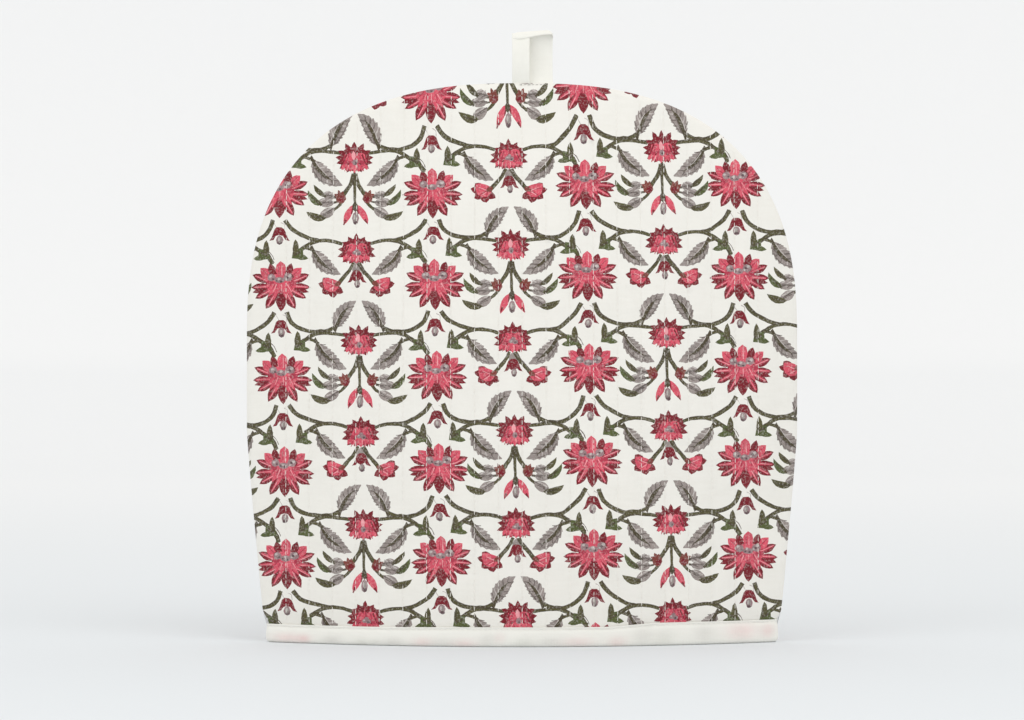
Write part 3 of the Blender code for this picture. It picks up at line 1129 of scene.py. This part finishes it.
@dataclass
class QuiltedPanel:
    """One quilted side of the cosy: a printed outer cloth over a plain lining."""

    name: str
    node: str
    side: int
    form: CosyForm
    design: BlockPrint
    columns_per_channel: int = 5
    row_step: float = 0.0042
    lining_columns_per_channel: int = 3
    lining_row_step: float = 0.0056
    rim_rings: tuple[float, ...] = (0.0004, 0.0011, 0.0022, 0.0038)

    def grid(self) -> list[Point]:
        """Returns the points that carry the cloth's relief between the printed outlines.

        Returns:
            The points in the panel's plane.
        """
        form = self.form
        step = form.channel / self.columns_per_channel
        half = int(form.shoulder_half / step)
        rows = int((form.height - form.foot) / self.row_step)
        points = []
        for column in range(-half, half + 1):
            for row in range(1, rows):
                x, z = column * step, form.foot + row * self.row_step
                if abs(x) < form.half_width(z) and form.seam_distance(x, z) > 0.006:
                    points.append((x, z))
        return points

    def rings(self) -> list[Point]:
        """Returns rows of points that follow the seam and carry its rounded edge.

        Returns:
            The points in the panel's plane.
        """
        points = []
        rim = self.form.rim
        for inward in self.rim_rings:
            for before, (x, z), after in zip(rim, rim[1:], rim[2:]):
                dx, dz = after[0] - before[0], after[1] - before[1]
                size = math.hypot(dx, dz)
                ring_x, ring_z = x - dz / size * inward, z + dx / size * inward
                if ring_z > self.form.foot + 0.0006:
                    points.append((ring_x, ring_z))
        return points

    def hem_points(self) -> list[Point]:
        """Returns points along the cut edge that the binding hides, from left to right."""
        half = self.form.half_width(self.form.foot)
        count = int(2 * half / 0.0023)
        return [(-half + 2 * half * i / count, self.form.foot) for i in range(1, count)]

    def outer_net(self) -> tuple[list[Point], list[tuple[int, ...]], list[Ink]]:
        """Cuts the outline into triangles along every printed edge.

        Returns:
            Points in the panel's plane, triangles, and each triangle's ink.
        """
        form = self.form
        rim = form.rim + self.hem_points()
        points, edges, shown = list(rim), [], []
        for patch in self.design.patches():
            shows = (
                abs(x) < form.shoulder_half and form.foot < z < form.height for x, z in patch.outline
            )
            if not any(shows):
                continue
            first, count = len(points), len(patch.outline)
            points += patch.outline
            edges += [(first + i, first + (i + 1) % count) for i in range(count)]
            shown.append(patch)
        points += self.rings() + self.grid()
        verts, _, tris, _, _, owners = delaunay_2d_cdt(
            [Vector(p) for p in points], edges, [list(range(len(rim)))], 1, 1e-7, True
        )
        kept = [tuple(tri) for tri, owner in zip(tris, owners) if 0 in owner]
        flat = [(v[0], v[1]) for v in verts]
        LOG.info("%s: %d points in, %d triangles", self.name, len(points), len(kept))
        return flat, kept, self.inked(flat, kept, shown)

    def inked(self, flat: list[Point], tris: list[tuple[int, ...]], shown: list[Patch]) -> list[Ink]:
        """Finds each triangle's ink, that of the last patch whose outline winds round its middle.

        Args:
            flat: The net's points.
            tris: The net's triangles.
            shown: The patches in painter's order.

        Returns:
            An ink for each triangle.
        """
        middles = numpy.array(flat)[numpy.array(tris)].mean(axis=1)
        order = middles[:, 0].argsort()
        xs, zs = middles[order, 0], middles[order, 1]
        inks = numpy.full(len(tris), -1)
        for number, patch in enumerate(shown):
            px, pz = numpy.array(patch.outline).T
            first, last = numpy.searchsorted(xs, (px.min(), px.max()))
            near = first + numpy.nonzero((zs[first:last] > pz.min()) & (zs[first:last] < pz.max()))[0]
            qx, qz = numpy.roll(px, -1), numpy.roll(pz, -1)
            tx, tz = xs[near][:, None], zs[near][:, None]
            side = (qx - px) * (tz - pz) - (tx - px) * (qz - pz)
            up = ((pz <= tz) & (qz > tz) & (side > 0)).sum(axis=1)
            down = ((pz > tz) & (qz <= tz) & (side < 0)).sum(axis=1)
            inks[order[near[up != down]]] = number
        return [Ink.NONE if number < 0 else shown[number].ink for number in inks]

    def lining_net(self, rim: list[Point]) -> tuple[list[Point], list[tuple[int, ...]]]:
        """Returns a plain net inside the given rim, whose points come first.

        Args:
            rim: The sheet's edge, in order.

        Returns:
            Points in the panel's plane, and triangles.
        """
        form = self.form
        step = form.channel / self.lining_columns_per_channel
        half = int(form.shoulder_half / step)
        rows = int((form.height - form.foot) / self.lining_row_step)
        inside = []
        for column in range(-half, half + 1):
            for row in range(1, rows + 1):
                x, z = column * step, form.foot + row * self.lining_row_step
                if abs(x) < form.half_width(z) and form.seam_distance(x, z) > 0.004:
                    inside.append((x, z))
        verts, _, tris, _, _, _ = delaunay_2d_cdt(
            [Vector(p) for p in rim + inside], [], [list(range(len(rim)))], 1, 1e-7, True
        )
        return [(v[0], v[1]) for v in verts], [tuple(t) for t in tris]

    def build(self, material: bpy.types.Material) -> bpy.types.Object:
        """Returns the panel as one closed sheet with its print.

        Args:
            material: Its finish.

        Returns:
            The piece.
        """
        flat, tris, inks = self.outer_net()
        bm = bmesh.new()
        layer = bm.loops.layers.float_color.new("print")
        outer = [bm.verts.new((x, self.side * self.form.depths(x, z, self.side)[1], z)) for x, z in flat]
        for tri, ink in zip(tris, inks):
            face = bm.faces.new([outer[i] for i in tri])
            shade = linear(ink.value)
            colour = (*shade[:3], 0.0 if ink is Ink.NONE else 1.0)
            for loop in face.loops:
                loop[layer] = colour
        loop_verts = ordered_rim(bm)
        rim = [(v.co.x, v.co.z) for v in loop_verts]
        inner_flat, inner_tris = self.lining_net(rim)
        inner = [
            bm.verts.new((x, self.side * self.form.depths(x, z, self.side)[0], z)) for x, z in inner_flat
        ]
        for tri in inner_tris:
            bm.faces.new([inner[i] for i in tri])
        for index in range(len(rim)):
            following = (index + 1) % len(rim)
            bm.faces.new((loop_verts[index], loop_verts[following], inner[following], inner[index]))
        loose = [v for v in bm.verts if not v.link_faces]
        bmesh.ops.delete(bm, geom=loose, context="VERTS")
        bmesh.ops.recalc_face_normals(bm, faces=bm.faces[:])
        piece = show(bm, self.name, [material])
        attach(piece, "root")
        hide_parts(self.node)
        return piece


def ordered_rim(bm: bmesh.types.BMesh) -> list[bmesh.types.BMVert]:
    """Returns the open edge's vertices in order round the sheet.

    Args:
        bm: An open sheet with one edge.

    Returns:
        The edge's vertices.
    """
    edges = [edge for edge in bm.edges if edge.is_boundary]
    beside: dict[Any, list[Any]] = {}
    for edge in edges:
        for vert in edge.verts:
            beside.setdefault(vert, []).append(edge.other_vert(vert))
    start = edges[0].verts[0]
    loop, before, at = [start], start, beside[start][0]
    while at is not start:
        loop.append(at)
        ahead = [v for v in beside[at] if v is not before]
        before, at = at, ahead[0]
    return loop


class Ghost(NamedTuple):
    """Where the turned-in print shows through the hem: its place, its half size, ink and depth."""

    x: float
    z: float
    across: float
    up: float
    ink: Ink
    depth: float


GHOSTS = (
    Ghost(-0.1395, 0.0032, 0.0100, 0.0026, Ink.BLUSH, 0.20),
    Ghost(-0.1300, 0.0028, 0.0036, 0.0022, Ink.CORAL, 0.16),
    Ghost(-0.1130, 0.0028, 0.0060, 0.0026, Ink.LEAF, 0.17),
    Ghost(-0.0950, 0.0016, 0.0046, 0.0020, Ink.MOSS, 0.13),
    Ghost(-0.0870, 0.0022, 0.0030, 0.0018, Ink.MOSS, 0.09),
    Ghost(-0.0760, 0.0024, 0.0068, 0.0024, Ink.LEAF, 0.17),
    Ghost(-0.0590, 0.0026, 0.0060, 0.0024, Ink.CORAL, 0.13),
    Ghost(-0.0470, 0.0026, 0.0080, 0.0022, Ink.LEAF, 0.13),
    Ghost(-0.0340, 0.0022, 0.0070, 0.0022, Ink.BLUSH, 0.17),
    Ghost(-0.0200, 0.0040, 0.0056, 0.0036, Ink.LEAF, 0.13),
    Ghost(-0.0130, 0.0050, 0.0026, 0.0026, Ink.CORAL, 0.09),
    Ghost(0.0010, 0.0026, 0.0060, 0.0026, Ink.MOSS, 0.11),
    Ghost(0.0170, 0.0030, 0.0070, 0.0026, Ink.LEAF, 0.15),
    Ghost(0.0330, 0.0028, 0.0090, 0.0024, Ink.BLUSH, 0.17),
    Ghost(0.0560, 0.0026, 0.0056, 0.0026, Ink.CORAL, 0.15),
    Ghost(0.0710, 0.0046, 0.0060, 0.0032, Ink.LEAF, 0.15),
    Ghost(0.0840, 0.0038, 0.0060, 0.0030, Ink.MOSS, 0.11),
    Ghost(0.1080, 0.0052, 0.0062, 0.0034, Ink.LEAF, 0.15),
    Ghost(0.1310, 0.0058, 0.0092, 0.0030, Ink.BLUSH, 0.20),
    Ghost(0.1470, 0.0056, 0.0044, 0.0024, Ink.CORAL, 0.16),
)


class Ring(NamedTuple):
    """One line of the folded hem: how far outside its guide it runs, and how high."""

    outward: float
    z: float


@dataclass
class HemBand:
    """The strip folded round both panels' lower edges, with a soft fold under it."""

    form: CosyForm
    stations: int = 150
    wall: float = 0.0011
    clearance: float = 0.0003
    nose_clearance: float = 0.0004
    base: float = 0.0016
    inner_nose: float = 0.00035
    side_slope: float = math.radians(2)
    puff: float = 0.0003
    stitch_z: float = 0.0092
    front_face: tuple[Ring, ...] = (
        Ring(-0.0022, 0.0),
        Ring(-0.0013, 0.0002),
        Ring(-0.0006, 0.0006),
        Ring(0.0, 0.0013),
        Ring(0.0003, 0.0024),
        Ring(0.0004, 0.0038),
        Ring(0.0003, 0.0056),
        Ring(0.0001, 0.0072),
        Ring(-0.0001, 0.0083),
        Ring(-0.0004, 0.0088),
        Ring(-0.0005, 0.0092),
        Ring(-0.0004, 0.0096),
        Ring(-0.0001, 0.0100),
        Ring(-0.0001, 0.0104),
        Ring(-0.0005, 0.0107),
    )

    def closed_loop(self, half: float, depth_at: Callable[[float], float]) -> list[Point]:
        """Returns a loop round the mouth: the front from left to right, then the back.

        Args:
            half: Half the loop's width.
            depth_at: Gives its distance from the seam's plane at a place across.

        Returns:
            The loop's points seen from above.
        """
        steps = self.stations - 1
        places = [half * math.sin(math.pi * (step / steps - 0.5)) for step in range(self.stations)]
        front = [(x, -depth_at(x)) for x in places]
        return front + [(x, -y) for x, y in reversed(front)]

    def outer_depth(self, x: float) -> float:
        """Returns the cloth's outer distance from the seam's plane where the band holds it.

        Args:
            x: Metres to the right of the middle.

        Returns:
            Metres.
        """
        form = self.form
        z = form.binding_height
        inward = (form.half_width(z) - abs(x)) * math.cos(self.side_slope)
        return form.seam_gap / 2 + form.lift(x, z) + form.thickness(0.0, inward)

    def inner_loop(self, offset: float) -> list[Point]:
        """Returns a loop inside the lining's curve, closed in a small blunt corner.

        Args:
            offset: How far inside the lining's curve it runs.

        Returns:
            The loop's points seen from above.
        """
        form = self.form

        def depth_at(x: float) -> float:
            """Returns the loop's distance from the seam's plane."""
            slope = 2 * form.mouth_half_depth * abs(x) / form.half_width(form.binding_height) ** 2
            return form.seam_gap / 2 + form.lift(x, 0.0) - offset * math.hypot(1, slope)

        low, high = 0.0, form.half_width(0.0)
        while high - low > 1e-6:
            middle = (low + high) / 2
            low, high = (middle, high) if depth_at(middle) > self.inner_nose else (low, middle)
        return self.closed_loop(low, depth_at)

    def softness(self, x: float, y: float, z: float) -> float:
        """Returns how far the band's face swells or sinks at a place.

        Args:
            x: Metres to the right of the middle.
            y: Metres behind the seam's plane.
            z: Height in metres.

        Returns:
            Metres outwards.
        """
        free = smooth(z, 0.0002, 0.0030) * (1 - smooth(z, 0.0070, 0.0086))
        slow = noise.noise(Vector((x * 42, y * 9, z * 60)))
        quick = noise.noise(Vector((x * 150, y * 9 + 5, z * 120)))
        return self.puff * free * (1.0 * slow + 0.6 * quick)

    def ghost(self, x: float, y: float, z: float) -> tuple[float, ...]:
        """Returns the ink and depth of the print that shows through the band there.

        Args:
            x: Metres to the right of the middle.
            y: Metres behind the seam's plane.
            z: Height in metres.

        Returns:
            Linear red, green and blue, and how strongly they show.
        """
        red, green, blue, total = 0.0, 0.0, 0.0, 0.0
        for spot in GHOSTS:
            place = spot.x if y < 0 else -spot.x
            near = bump_shape(x - place, spot.across) * bump_shape(z - spot.z, spot.up) * spot.depth
            shade = linear(spot.ink.value)
            red, green, blue = red + shade[0] * near, green + shade[1] * near, blue + shade[2] * near
            total += near
        size = total or 1.0
        return red / size, green / size, blue / size, min(0.36, 1.3 * total)

    def rise(self, x: float, y: float) -> float:
        """Returns how much wider the hand-folded band is at a place, on the front only."""
        wider = 0.0004 + 0.0006 * smooth(x, -0.10, -0.02) + 0.0020 * smooth(x, 0.045, 0.085)
        return wider if y < 0 else 0.0

    def build(self, material: bpy.types.Material) -> bpy.types.Object:
        """Returns the band as one closed folded sheet.

        Args:
            material: Its finish.

        Returns:
            The piece.
        """
        hull = self.closed_loop(self.form.half_width(self.form.binding_height), self.outer_depth)
        slot_out = grown(hull, self.nose_clearance)
        outside = grown(slot_out, self.wall)
        slot_in = self.inner_loop(self.clearance)
        inside = self.inner_loop(self.clearance + self.wall)
        top = self.form.binding_height
        section = [(grown(outside, ring.outward), ring.z) for ring in self.front_face]
        section += [(slot_out, top - 0.0003), (slot_out, 0.006), (slot_out, self.base)]
        section += [(slot_in, self.base), (slot_in, 0.006), (slot_in, top - 0.0004)]
        section += [([((a + c) / 2, (b + d) / 2) for (a, b), (c, d) in zip(slot_in, inside)], top)]
        section += [(inside, top - 0.0005), (inside, 0.005), (inside, 0.0)]
        bm = bmesh.new()
        layer = bm.verts.layers.float_color.new("print")
        faces = len(self.front_face)
        rings = []
        for index, (loop, z) in enumerate(section):
            ring = []
            for x, y in loop:
                swell = self.softness(x, y, z) if index < faces else 0.0
                lifted = z + self.rise(x, y) * smooth(z, 0.0030, 0.0083) if index < faces else z
                vert = bm.verts.new((x, y + math.copysign(swell, y), lifted))
                vert[layer] = self.ghost(x, y, z) if index < faces else (1.0, 1.0, 1.0, 0.0)
                ring.append(vert)
            rings.append(ring)
        for ring, following in zip(rings, rings[1:] + rings[:1]):
            for i in range(len(ring)):
                bm.faces.new((ring[i - 1], ring[i], following[i], following[i - 1]))
        bmesh.ops.recalc_face_normals(bm, faces=bm.faces[:])
        piece = show(bm, "hem_band", [material])
        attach(piece, "root")
        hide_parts("hem_binding")
        return piece

    def stitch_line(self) -> list[Point]:
        """Returns the loop that the top-stitching follows, in the groove under the band's edge."""
        hull = self.closed_loop(self.form.half_width(self.form.binding_height), self.outer_depth)
        return grown(hull, self.nose_clearance + self.wall - 0.0004)


def grown(loop: list[Point], distance: float) -> list[Point]:
    """Returns the convex loop moved outwards by a distance, with its corners kept.

    Args:
        loop: A convex loop.
        distance: How far each side moves, in metres.

    Returns:
        The moved loop, point for point.
    """
    moved = []
    for index, (x, y) in enumerate(loop):
        before, after = loop[index - 1], loop[(index + 1) % len(loop)]
        normals = []
        for (ax, ay), (bx, by) in ((before, (x, y)), ((x, y), after)):
            length = math.hypot(bx - ax, by - ay)
            normals.append(((by - ay) / length, (ax - bx) / length))
        nx, ny = normals[0][0] + normals[1][0], normals[0][1] + normals[1][1]
        reach = distance * 2 / (nx * nx + ny * ny)
        moved.append((x + nx * reach, y + ny * reach))
    return moved


@dataclass
class LoopTape:
    """The hanging loop: a tape with two legs side by side, folded across their tops."""

    form: CosyForm
    x: float = 0.0063
    width: float = 0.0246
    height: float = 0.0310
    slit: float = 0.0008
    slit_x: float = -0.0012
    thick: float = 0.0014
    bulge: float = 0.0029
    fullness: float = 0.8
    span: float = 0.0300
    cap_thick: float = 0.0046
    cap_low_left: float = 0.0257
    cap_low_right: float = 0.0286
    corner: float = 0.0040
    flare: float = 0.0036
    overlap: float = 0.0012
    tucked: float = 0.0006
    around: int = 28

    def ring(self, bm: bmesh.types.BMesh, place: Callable[[float, float], tuple[float, ...]]) -> list[Any]:
        """Adds a ring of a flat tube whose section is a rounded bar.

        Args:
            bm: The shape to add to.
            place: Turns the section's two shares, each from -1 to 1, into a place.

        Returns:
            The ring's vertices.
        """
        verts = []
        for step in range(self.around):
            turn = math.tau * step / self.around
            cos, sin = math.cos(turn), math.sin(turn)
            across = math.copysign(abs(cos) ** 0.32, cos)
            through = math.copysign(abs(sin) ** 0.55, sin)
            verts.append(bm.verts.new(place(across, through)))
        return verts

    def tube(self, bm: bmesh.types.BMesh, rings: list[list[Any]]) -> None:
        """Joins rings in order and closes both ends.

        Args:
            bm: The shape to add to.
            rings: Rings of as many vertices each, in order.
        """
        for ring, following in zip(rings, rings[1:]):
            for i in range(self.around):
                bm.faces.new((ring[i - 1], ring[i], following[i], following[i - 1]))
        bm.faces.new(rings[0])
        bm.faces.new(rings[-1])

    def leg(self, bm: bmesh.types.BMesh, left: float, right: float, side: int) -> None:
        """Adds one leg, bowed to the front or the back between its two ends.

        Args:
            bm: The shape to add to.
            left: Its left edge.
            right: Its right edge.
            side: FRONT or BACK.
        """
        foot = self.form.height - self.tucked
        steps = 40
        rings = []
        for step in range(steps + 1):
            along = step / steps
            z = foot + (self.span + self.tucked) * along
            out = self.bulge * math.sin(math.pi * along) ** self.fullness
            narrow = 1 - 0.035 * math.sin(math.pi * along)

            def place(across: float, through: float) -> tuple[float, ...]:
                """Returns the place of a point of this leg's section.

                Args:
                    across: Share of the way across, from -1 to 1.
                    through: Share of the way through, from -1 to 1.

                Returns:
                    The place in metres.
                """
                soft = noise.noise(Vector((across * 1.6, side * 3.0, z * 130))) * 0.00022
                x = (left + right) / 2 + (right - left) / 2 * across * narrow
                dip = 0.00025 * math.cos(math.pi * across)
                return x, side * (out + self.thick / 2 * (1 + through) + soft - dip), z

            rings.append(self.ring(bm, place))
        self.tube(bm, rings)

    def cap(self, bm: bmesh.types.BMesh) -> None:
        """Adds the tape's crossing, rounded over the top, with its lower edge aslant.

        Args:
            bm: The shape to add to.
        """
        foot = self.form.height + self.form.seam_gap
        steps = 44
        rings = []
        for step in range(steps + 1):
            share = step / steps
            x = self.x + self.width * (share - 0.5)
            edge = min(share, 1 - share) * self.width
            rounded = 1 - math.sqrt(max(0.0, 1 - (1 - min(1.0, edge / self.corner)) ** 2))
            top = self.height - self.corner * 0.8 * rounded - 0.0009 * (0.5 - share) * 2 * (1 - rounded)
            low = self.cap_low_left + (self.cap_low_right - self.cap_low_left) * smooth(share, 0.1, 0.9)
            low = min(low, top - 0.0008)
            slim = 1 - 0.25 * rounded

            def place(across: float, through: float) -> tuple[float, ...]:
                """Returns the place of a point of the crossing's section.

                Args:
                    across: Share of the way across, from -1 to 1.
                    through: Share of the way through, from -1 to 1.

                Returns:
                    The place in metres.
                """
                z = (top + low) / 2 + (top - low) / 2 * across
                soft = noise.noise(Vector((x * 160, 7.0, through * 2))) * 0.00018
                half = self.cap_thick / 3 + (self.flare - self.cap_thick / 3) * ((1 - across) / 2) ** 0.7
                return x, (half * slim + soft) * through, foot + z

            rings.append(self.ring(bm, place))
        self.tube(bm, rings)

    def build(self, material: bpy.types.Material) -> bpy.types.Object:
        """Returns the loop as one soft piece.

        Args:
            material: Its finish.

        Returns:
            The piece.
        """
        left, right = self.x - self.width / 2, self.x + self.width / 2
        slit = self.x + self.slit_x
        bm = bmesh.new()
        self.leg(bm, left, slit - self.slit / 2, FRONT)
        self.leg(bm, slit - self.slit / 2 - self.overlap, right, BACK)
        self.cap(bm)
        bmesh.ops.recalc_face_normals(bm, faces=bm.faces[:])
        piece = show(bm, "loop_tape", [material])
        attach(piece, "root")
        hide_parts("hanging_loop")
        return piece


@dataclass
class Stitching:
    """Hand-length running stitches of white cotton thread."""

    form: CosyForm
    gauge: float = 0.00042
    stitch: float = 0.0028
    gap: float = 0.0008
    seed: int = 3

    def __post_init__(self) -> None:
        """Takes the shape of one stitch from a small sphere."""
        bm = bmesh.new()
        bmesh.ops.create_uvsphere(bm, u_segments=5, v_segments=5, radius=1.0)
        bm.verts.index_update()
        self.points = [vert.co.copy() for vert in bm.verts]
        self.faces = [[vert.index for vert in face.verts] for face in bm.faces]
        bm.free()

    def add(self, bm: bmesh.types.BMesh, start: Vector, end: Vector) -> None:
        """Adds one stitch, a short spindle of thread between two points.

        Args:
            bm: The shape to add to.
            start: Its first end.
            end: Its last end.
        """
        along = end - start
        turn = along.to_track_quat("Z", "Y").to_matrix().to_4x4()
        size = Matrix.Diagonal((self.gauge / 2, self.gauge / 2, along.length / 2, 1.0))
        place = Matrix.Translation((start + end) / 2) @ turn @ size
        verts = [bm.verts.new(place @ point) for point in self.points]
        for face in self.faces:
            bm.faces.new([verts[i] for i in face])

    def on_cloth(self, x: float, z: float, side: int) -> Vector:
        """Returns a point that lies just proud of a panel's outer face."""
        return Vector((x, side * (self.form.depths(x, z, side)[1] + 0.00008), z))

    def quilting(self, name: str, side: int, material: bpy.types.Material) -> bpy.types.Object:
        """Returns the vertical lines of stitches that quilt one panel.

        Args:
            name: The piece's name.
            side: FRONT or BACK.
            material: Its finish.

        Returns:
            The piece.
        """
        form, draws = self.form, random.Random(self.seed + side)
        bm = bmesh.new()
        lines = int(form.shoulder_half / form.channel)
        for line in range(-lines, lines + 1):
            x = line * form.channel
            z = form.binding_height + 0.0006 + draws.random() * self.stitch
            while z < form.height and abs(x) < form.half_width(z + self.stitch):
                if form.seam_distance(x, z + self.stitch) < 0.0016:
                    break
                length = self.stitch * draws.uniform(0.88, 1.08)
                drift = draws.uniform(-0.00012, 0.00012)
                start, end = self.on_cloth(x + drift, z, side), self.on_cloth(x - drift, z + length, side)
                self.add(bm, start, end)
                z += length + self.gap * draws.uniform(0.7, 1.3)
        return self.finish(bm, name, material)

    def topstitch(self, band: HemBand, material: bpy.types.Material) -> bpy.types.Object:
        """Returns the row of stitches under the hem band's upper edge.

        Args:
            band: The hem band that it holds.
            material: Its finish.

        Returns:
            The piece.
        """
        bm = bmesh.new()
        loop = band.stitch_line()
        spent, start = 0.0, None
        for (ax, ay), (bx, by) in zip(loop, loop[1:] + loop[:1]):
            length = math.hypot(bx - ax, by - ay)
            done = 0.0
            while done < length:
                target = self.gap if start is None else self.stitch * 0.9
                step = min(target - spent, length - done)
                done, spent = done + step, spent + step
                if spent < target - 1e-9:
                    break
                x, y = ax + (bx - ax) * done / length, ay + (by - ay) * done / length
                at = Vector((x, y, band.stitch_z + band.rise(x, y)))
                if start is not None:
                    self.add(bm, start, at)
                start, spent = (at if start is None else None), 0.0
        return self.finish(bm, "hem_topstitch", material)

    def tacking(self, tape: LoopTape, material: bpy.types.Material) -> bpy.types.Object:
        """Returns the small stitches that hold the tape's foot in the seam.

        Args:
            tape: The loop that it holds.
            material: Its finish.

        Returns:
            The piece.
        """
        bm = bmesh.new()
        z = self.form.height - 0.0011
        for step in range(7):
            x = tape.x - tape.width * 0.32 + step * 0.0024
            start, end = self.on_cloth(x, z, FRONT), self.on_cloth(x + 0.0019, z + 0.0001, FRONT)
            self.add(bm, start, end)
        return self.finish(bm, "loop_tacking", material)

    def finish(
        self, bm: bmesh.types.BMesh, name: str, material: bpy.types.Material
    ) -> bpy.types.Object:
        """Returns the stitches as one piece that goes with a node of the model.

        Args:
            bm: The stitches.
            name: The piece's name.
            material: Its finish.

        Returns:
            The piece.
        """
        piece = show(bm, name, [material])
        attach(piece, "root")
        return piece


@dataclass
class Studio:
    """A pale paper sweep, soft light, and a camera that faces the front panel."""

    camera_x: float = -0.006
    camera_z: float = 0.169
    distance: float = 2.4
    frame_width: float = 0.6144
    sensor: float = 36.0
    floor_radius: float = 3.6
    cove_radius: float = 1.0
    # Painted shade: the floor's tone is greyer than the wall's, for the light's falloff.
    floor_tone_painted_shade: str = "DFE3E6"
    wall_tone: str = "F6F7F8"
    wall_top: float = 1.05

    def camera(self) -> None:
        """Places the camera square to the front."""
        data = bpy.data.cameras.new("camera")
        data.sensor_width = self.sensor
        data.lens = self.sensor * self.distance / self.frame_width
        data.clip_end = 50.0
        seen = bpy.data.objects.new("camera", data)
        seen.location = (self.camera_x, -self.distance, self.camera_z)
        seen.rotation_euler = (math.pi / 2, 0, 0)
        bpy.context.scene.collection.objects.link(seen)
        bpy.context.scene.camera = seen

    def sweep(self) -> None:
        """Spins the paper's section into a floor that turns up into a wall all round."""
        bm = bmesh.new()
        section = [(0.0, 0.0), (self.floor_radius, 0.0)]
        steps = 12
        for step in range(1, steps + 1):
            turn = math.pi / 2 * step / steps
            x = self.floor_radius + self.cove_radius * math.sin(turn)
            section.append((x, self.cove_radius * (1 - math.cos(turn))))
        section.append((section[-1][0], self.wall_top))
        verts = [bm.verts.new((x, 0, z)) for x, z in section]
        for first, second in zip(verts, verts[1:]):
            bm.edges.new((first, second))
        bmesh.ops.spin(
            bm,
            geom=bm.verts[:] + bm.edges[:],
            cent=(0, 0, 0),
            axis=(0, 0, 1),
            angle=math.tau,
            steps=96,
            use_merge=True,
        )
        bmesh.ops.remove_doubles(bm, verts=bm.verts[:], dist=1e-5)
        bmesh.ops.recalc_face_normals(bm, faces=bm.faces[:])
        show(bm, "paper_sweep", [self.paper()])

    def paper(self) -> bpy.types.Material:
        """Returns matt studio paper, painted greyer on the floor than up the wall and darker still towards
        the front: painted shade of the light's falloff.

        Returns:
            The material.
        """
        made = bpy.data.materials.new("pale_paper")
        made.use_nodes = True
        tree = made.node_tree
        shader = tree.nodes["Principled BSDF"]
        shader.inputs["Roughness"].default_value = 0.95
        shader.inputs["Specular IOR Level"].default_value = 0.1
        place = add_node(tree, "ShaderNodeTexCoord", {}, {}).outputs["Object"]
        parts = add_node(tree, "ShaderNodeSeparateXYZ", {}, {0: place}).outputs
        # Painted shade: the paper darkens towards the front of the floor and low down, as the light falls
        # off there.
        painted_falloff_ramps = [
            add_node(
                tree,
                "ShaderNodeMapRange",
                {"interpolation_type": "SMOOTHSTEP"},
                {"Value": parts[axis], "From Min": low, "From Max": high, "To Min": 0.0, "To Max": most},
            ).outputs[0]
            for axis, low, high, most in (("Y", -0.6, 3.4, 0.85), ("Z", -0.02, 0.20, 1.0))
        ]
        share = add_node(
            tree, "ShaderNodeMath", {"operation": "MAXIMUM"}, {0: painted_falloff_ramps[0], 1: painted_falloff_ramps[1]}
        ).outputs[0]
        tone = add_node(
            tree,
            "ShaderNodeMix",
            {"data_type": "RGBA"},
            {0: share, 6: linear(self.floor_tone_painted_shade), 7: linear(self.wall_tone)},
        ).outputs[2]
        tree.links.new(tone, shader.inputs["Base Color"])
        return made

    def lights(self) -> None:
        """Fills the room with soft light, a little more of it from the upper right."""
        world = bpy.data.worlds.new("soft_room")
        world.use_nodes = True
        back = world.node_tree.nodes["Background"]
        back.inputs["Color"].default_value = linear("FFFEFC")
        back.inputs["Strength"].default_value = 0.97
        bpy.context.scene.world = world
        for name, place, size, energy in (
            ("key", (1.4, -2.2, 2.2), 2.0, 17.0),
            ("fill", (-1.8, -2.0, 1.4), 2.0, 11.0),
        ):
            data = bpy.data.lights.new(name, "AREA")
            data.size = size
            data.energy = energy
            lamp = bpy.data.objects.new(name, data)
            lamp.location = place
            aim = Vector((0, 0, 0.15)) - Vector(place)
            lamp.rotation_euler = aim.to_track_quat("-Z", "Y").to_euler()
            bpy.context.scene.collection.objects.link(lamp)
        bpy.context.scene.view_settings.view_transform = "Standard"


def main() -> None:
    """Dresses the cosy piece by piece and sets the studio round it."""
    logging.basicConfig(level=logging.INFO, format="%(message)s")
    studio = Studio()
    studio.camera()
    form = CosyForm(*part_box("front_panel"))
    # Block-printed plain-weave cotton: a dull white ground with its inks unevenly taken up.
    printed = Cotton("printed_plain_weave_cotton", printed=True).material()
    # The same cloth with its wrong side out: paler, with only ghosts of ink to see.
    turned = Cotton("turned_hem_cotton", ground="ECEBE5", shade="E2E1DA", printed=True).material()
    # Woven cotton tape: closer threads, so it looks smoother and a touch whiter.
    tape_cotton = Cotton("tape_cotton", ground="EEEDE6", shade="E6E4DC", thread=0.0007).material()
    # Spun cotton sewing thread: its twist is too fine to see, so it reads as small soft bars.
    thread = Cotton("white_cotton_thread", ground="F3F0EA", shade="E9E4DC", thread=0.0003).material()
    # The same white thread painted grey: painted shade of the seam that it sits in, where it looks darker
    # than the rest.
    seam_shade_painted_thread = Cotton("cotton_thread_painted_seam_shade", ground="A9A69F", shade="8F8C86", thread=0.0003).material()
    stitching = Stitching(form)
    designs = {FRONT: BlockPrint(), BACK: BlockPrint(shift=(0.0216, -0.0262), seed=19, swap=1)}
    for word, side in (("front", FRONT), ("back", BACK)):
        cloth = QuiltedPanel(f"{word}_cloth", f"{word}_panel", side, form, designs[side]).build(printed)
        lines = stitching.quilting(f"{word}_quilting", side, thread)
    band = HemBand(form)
    band_piece = band.build(turned)
    top_row = stitching.topstitch(band, thread)
    tape = LoopTape(form)
    tape_piece = tape.build(tape_cotton)
    # The tacking stitches take the thread painted grey, as painted shade in the seam.
    tacks = stitching.tacking(tape, seam_shade_painted_thread)
    studio.sweep()
    studio.lights()


if __name__ == "__main__":
    main()
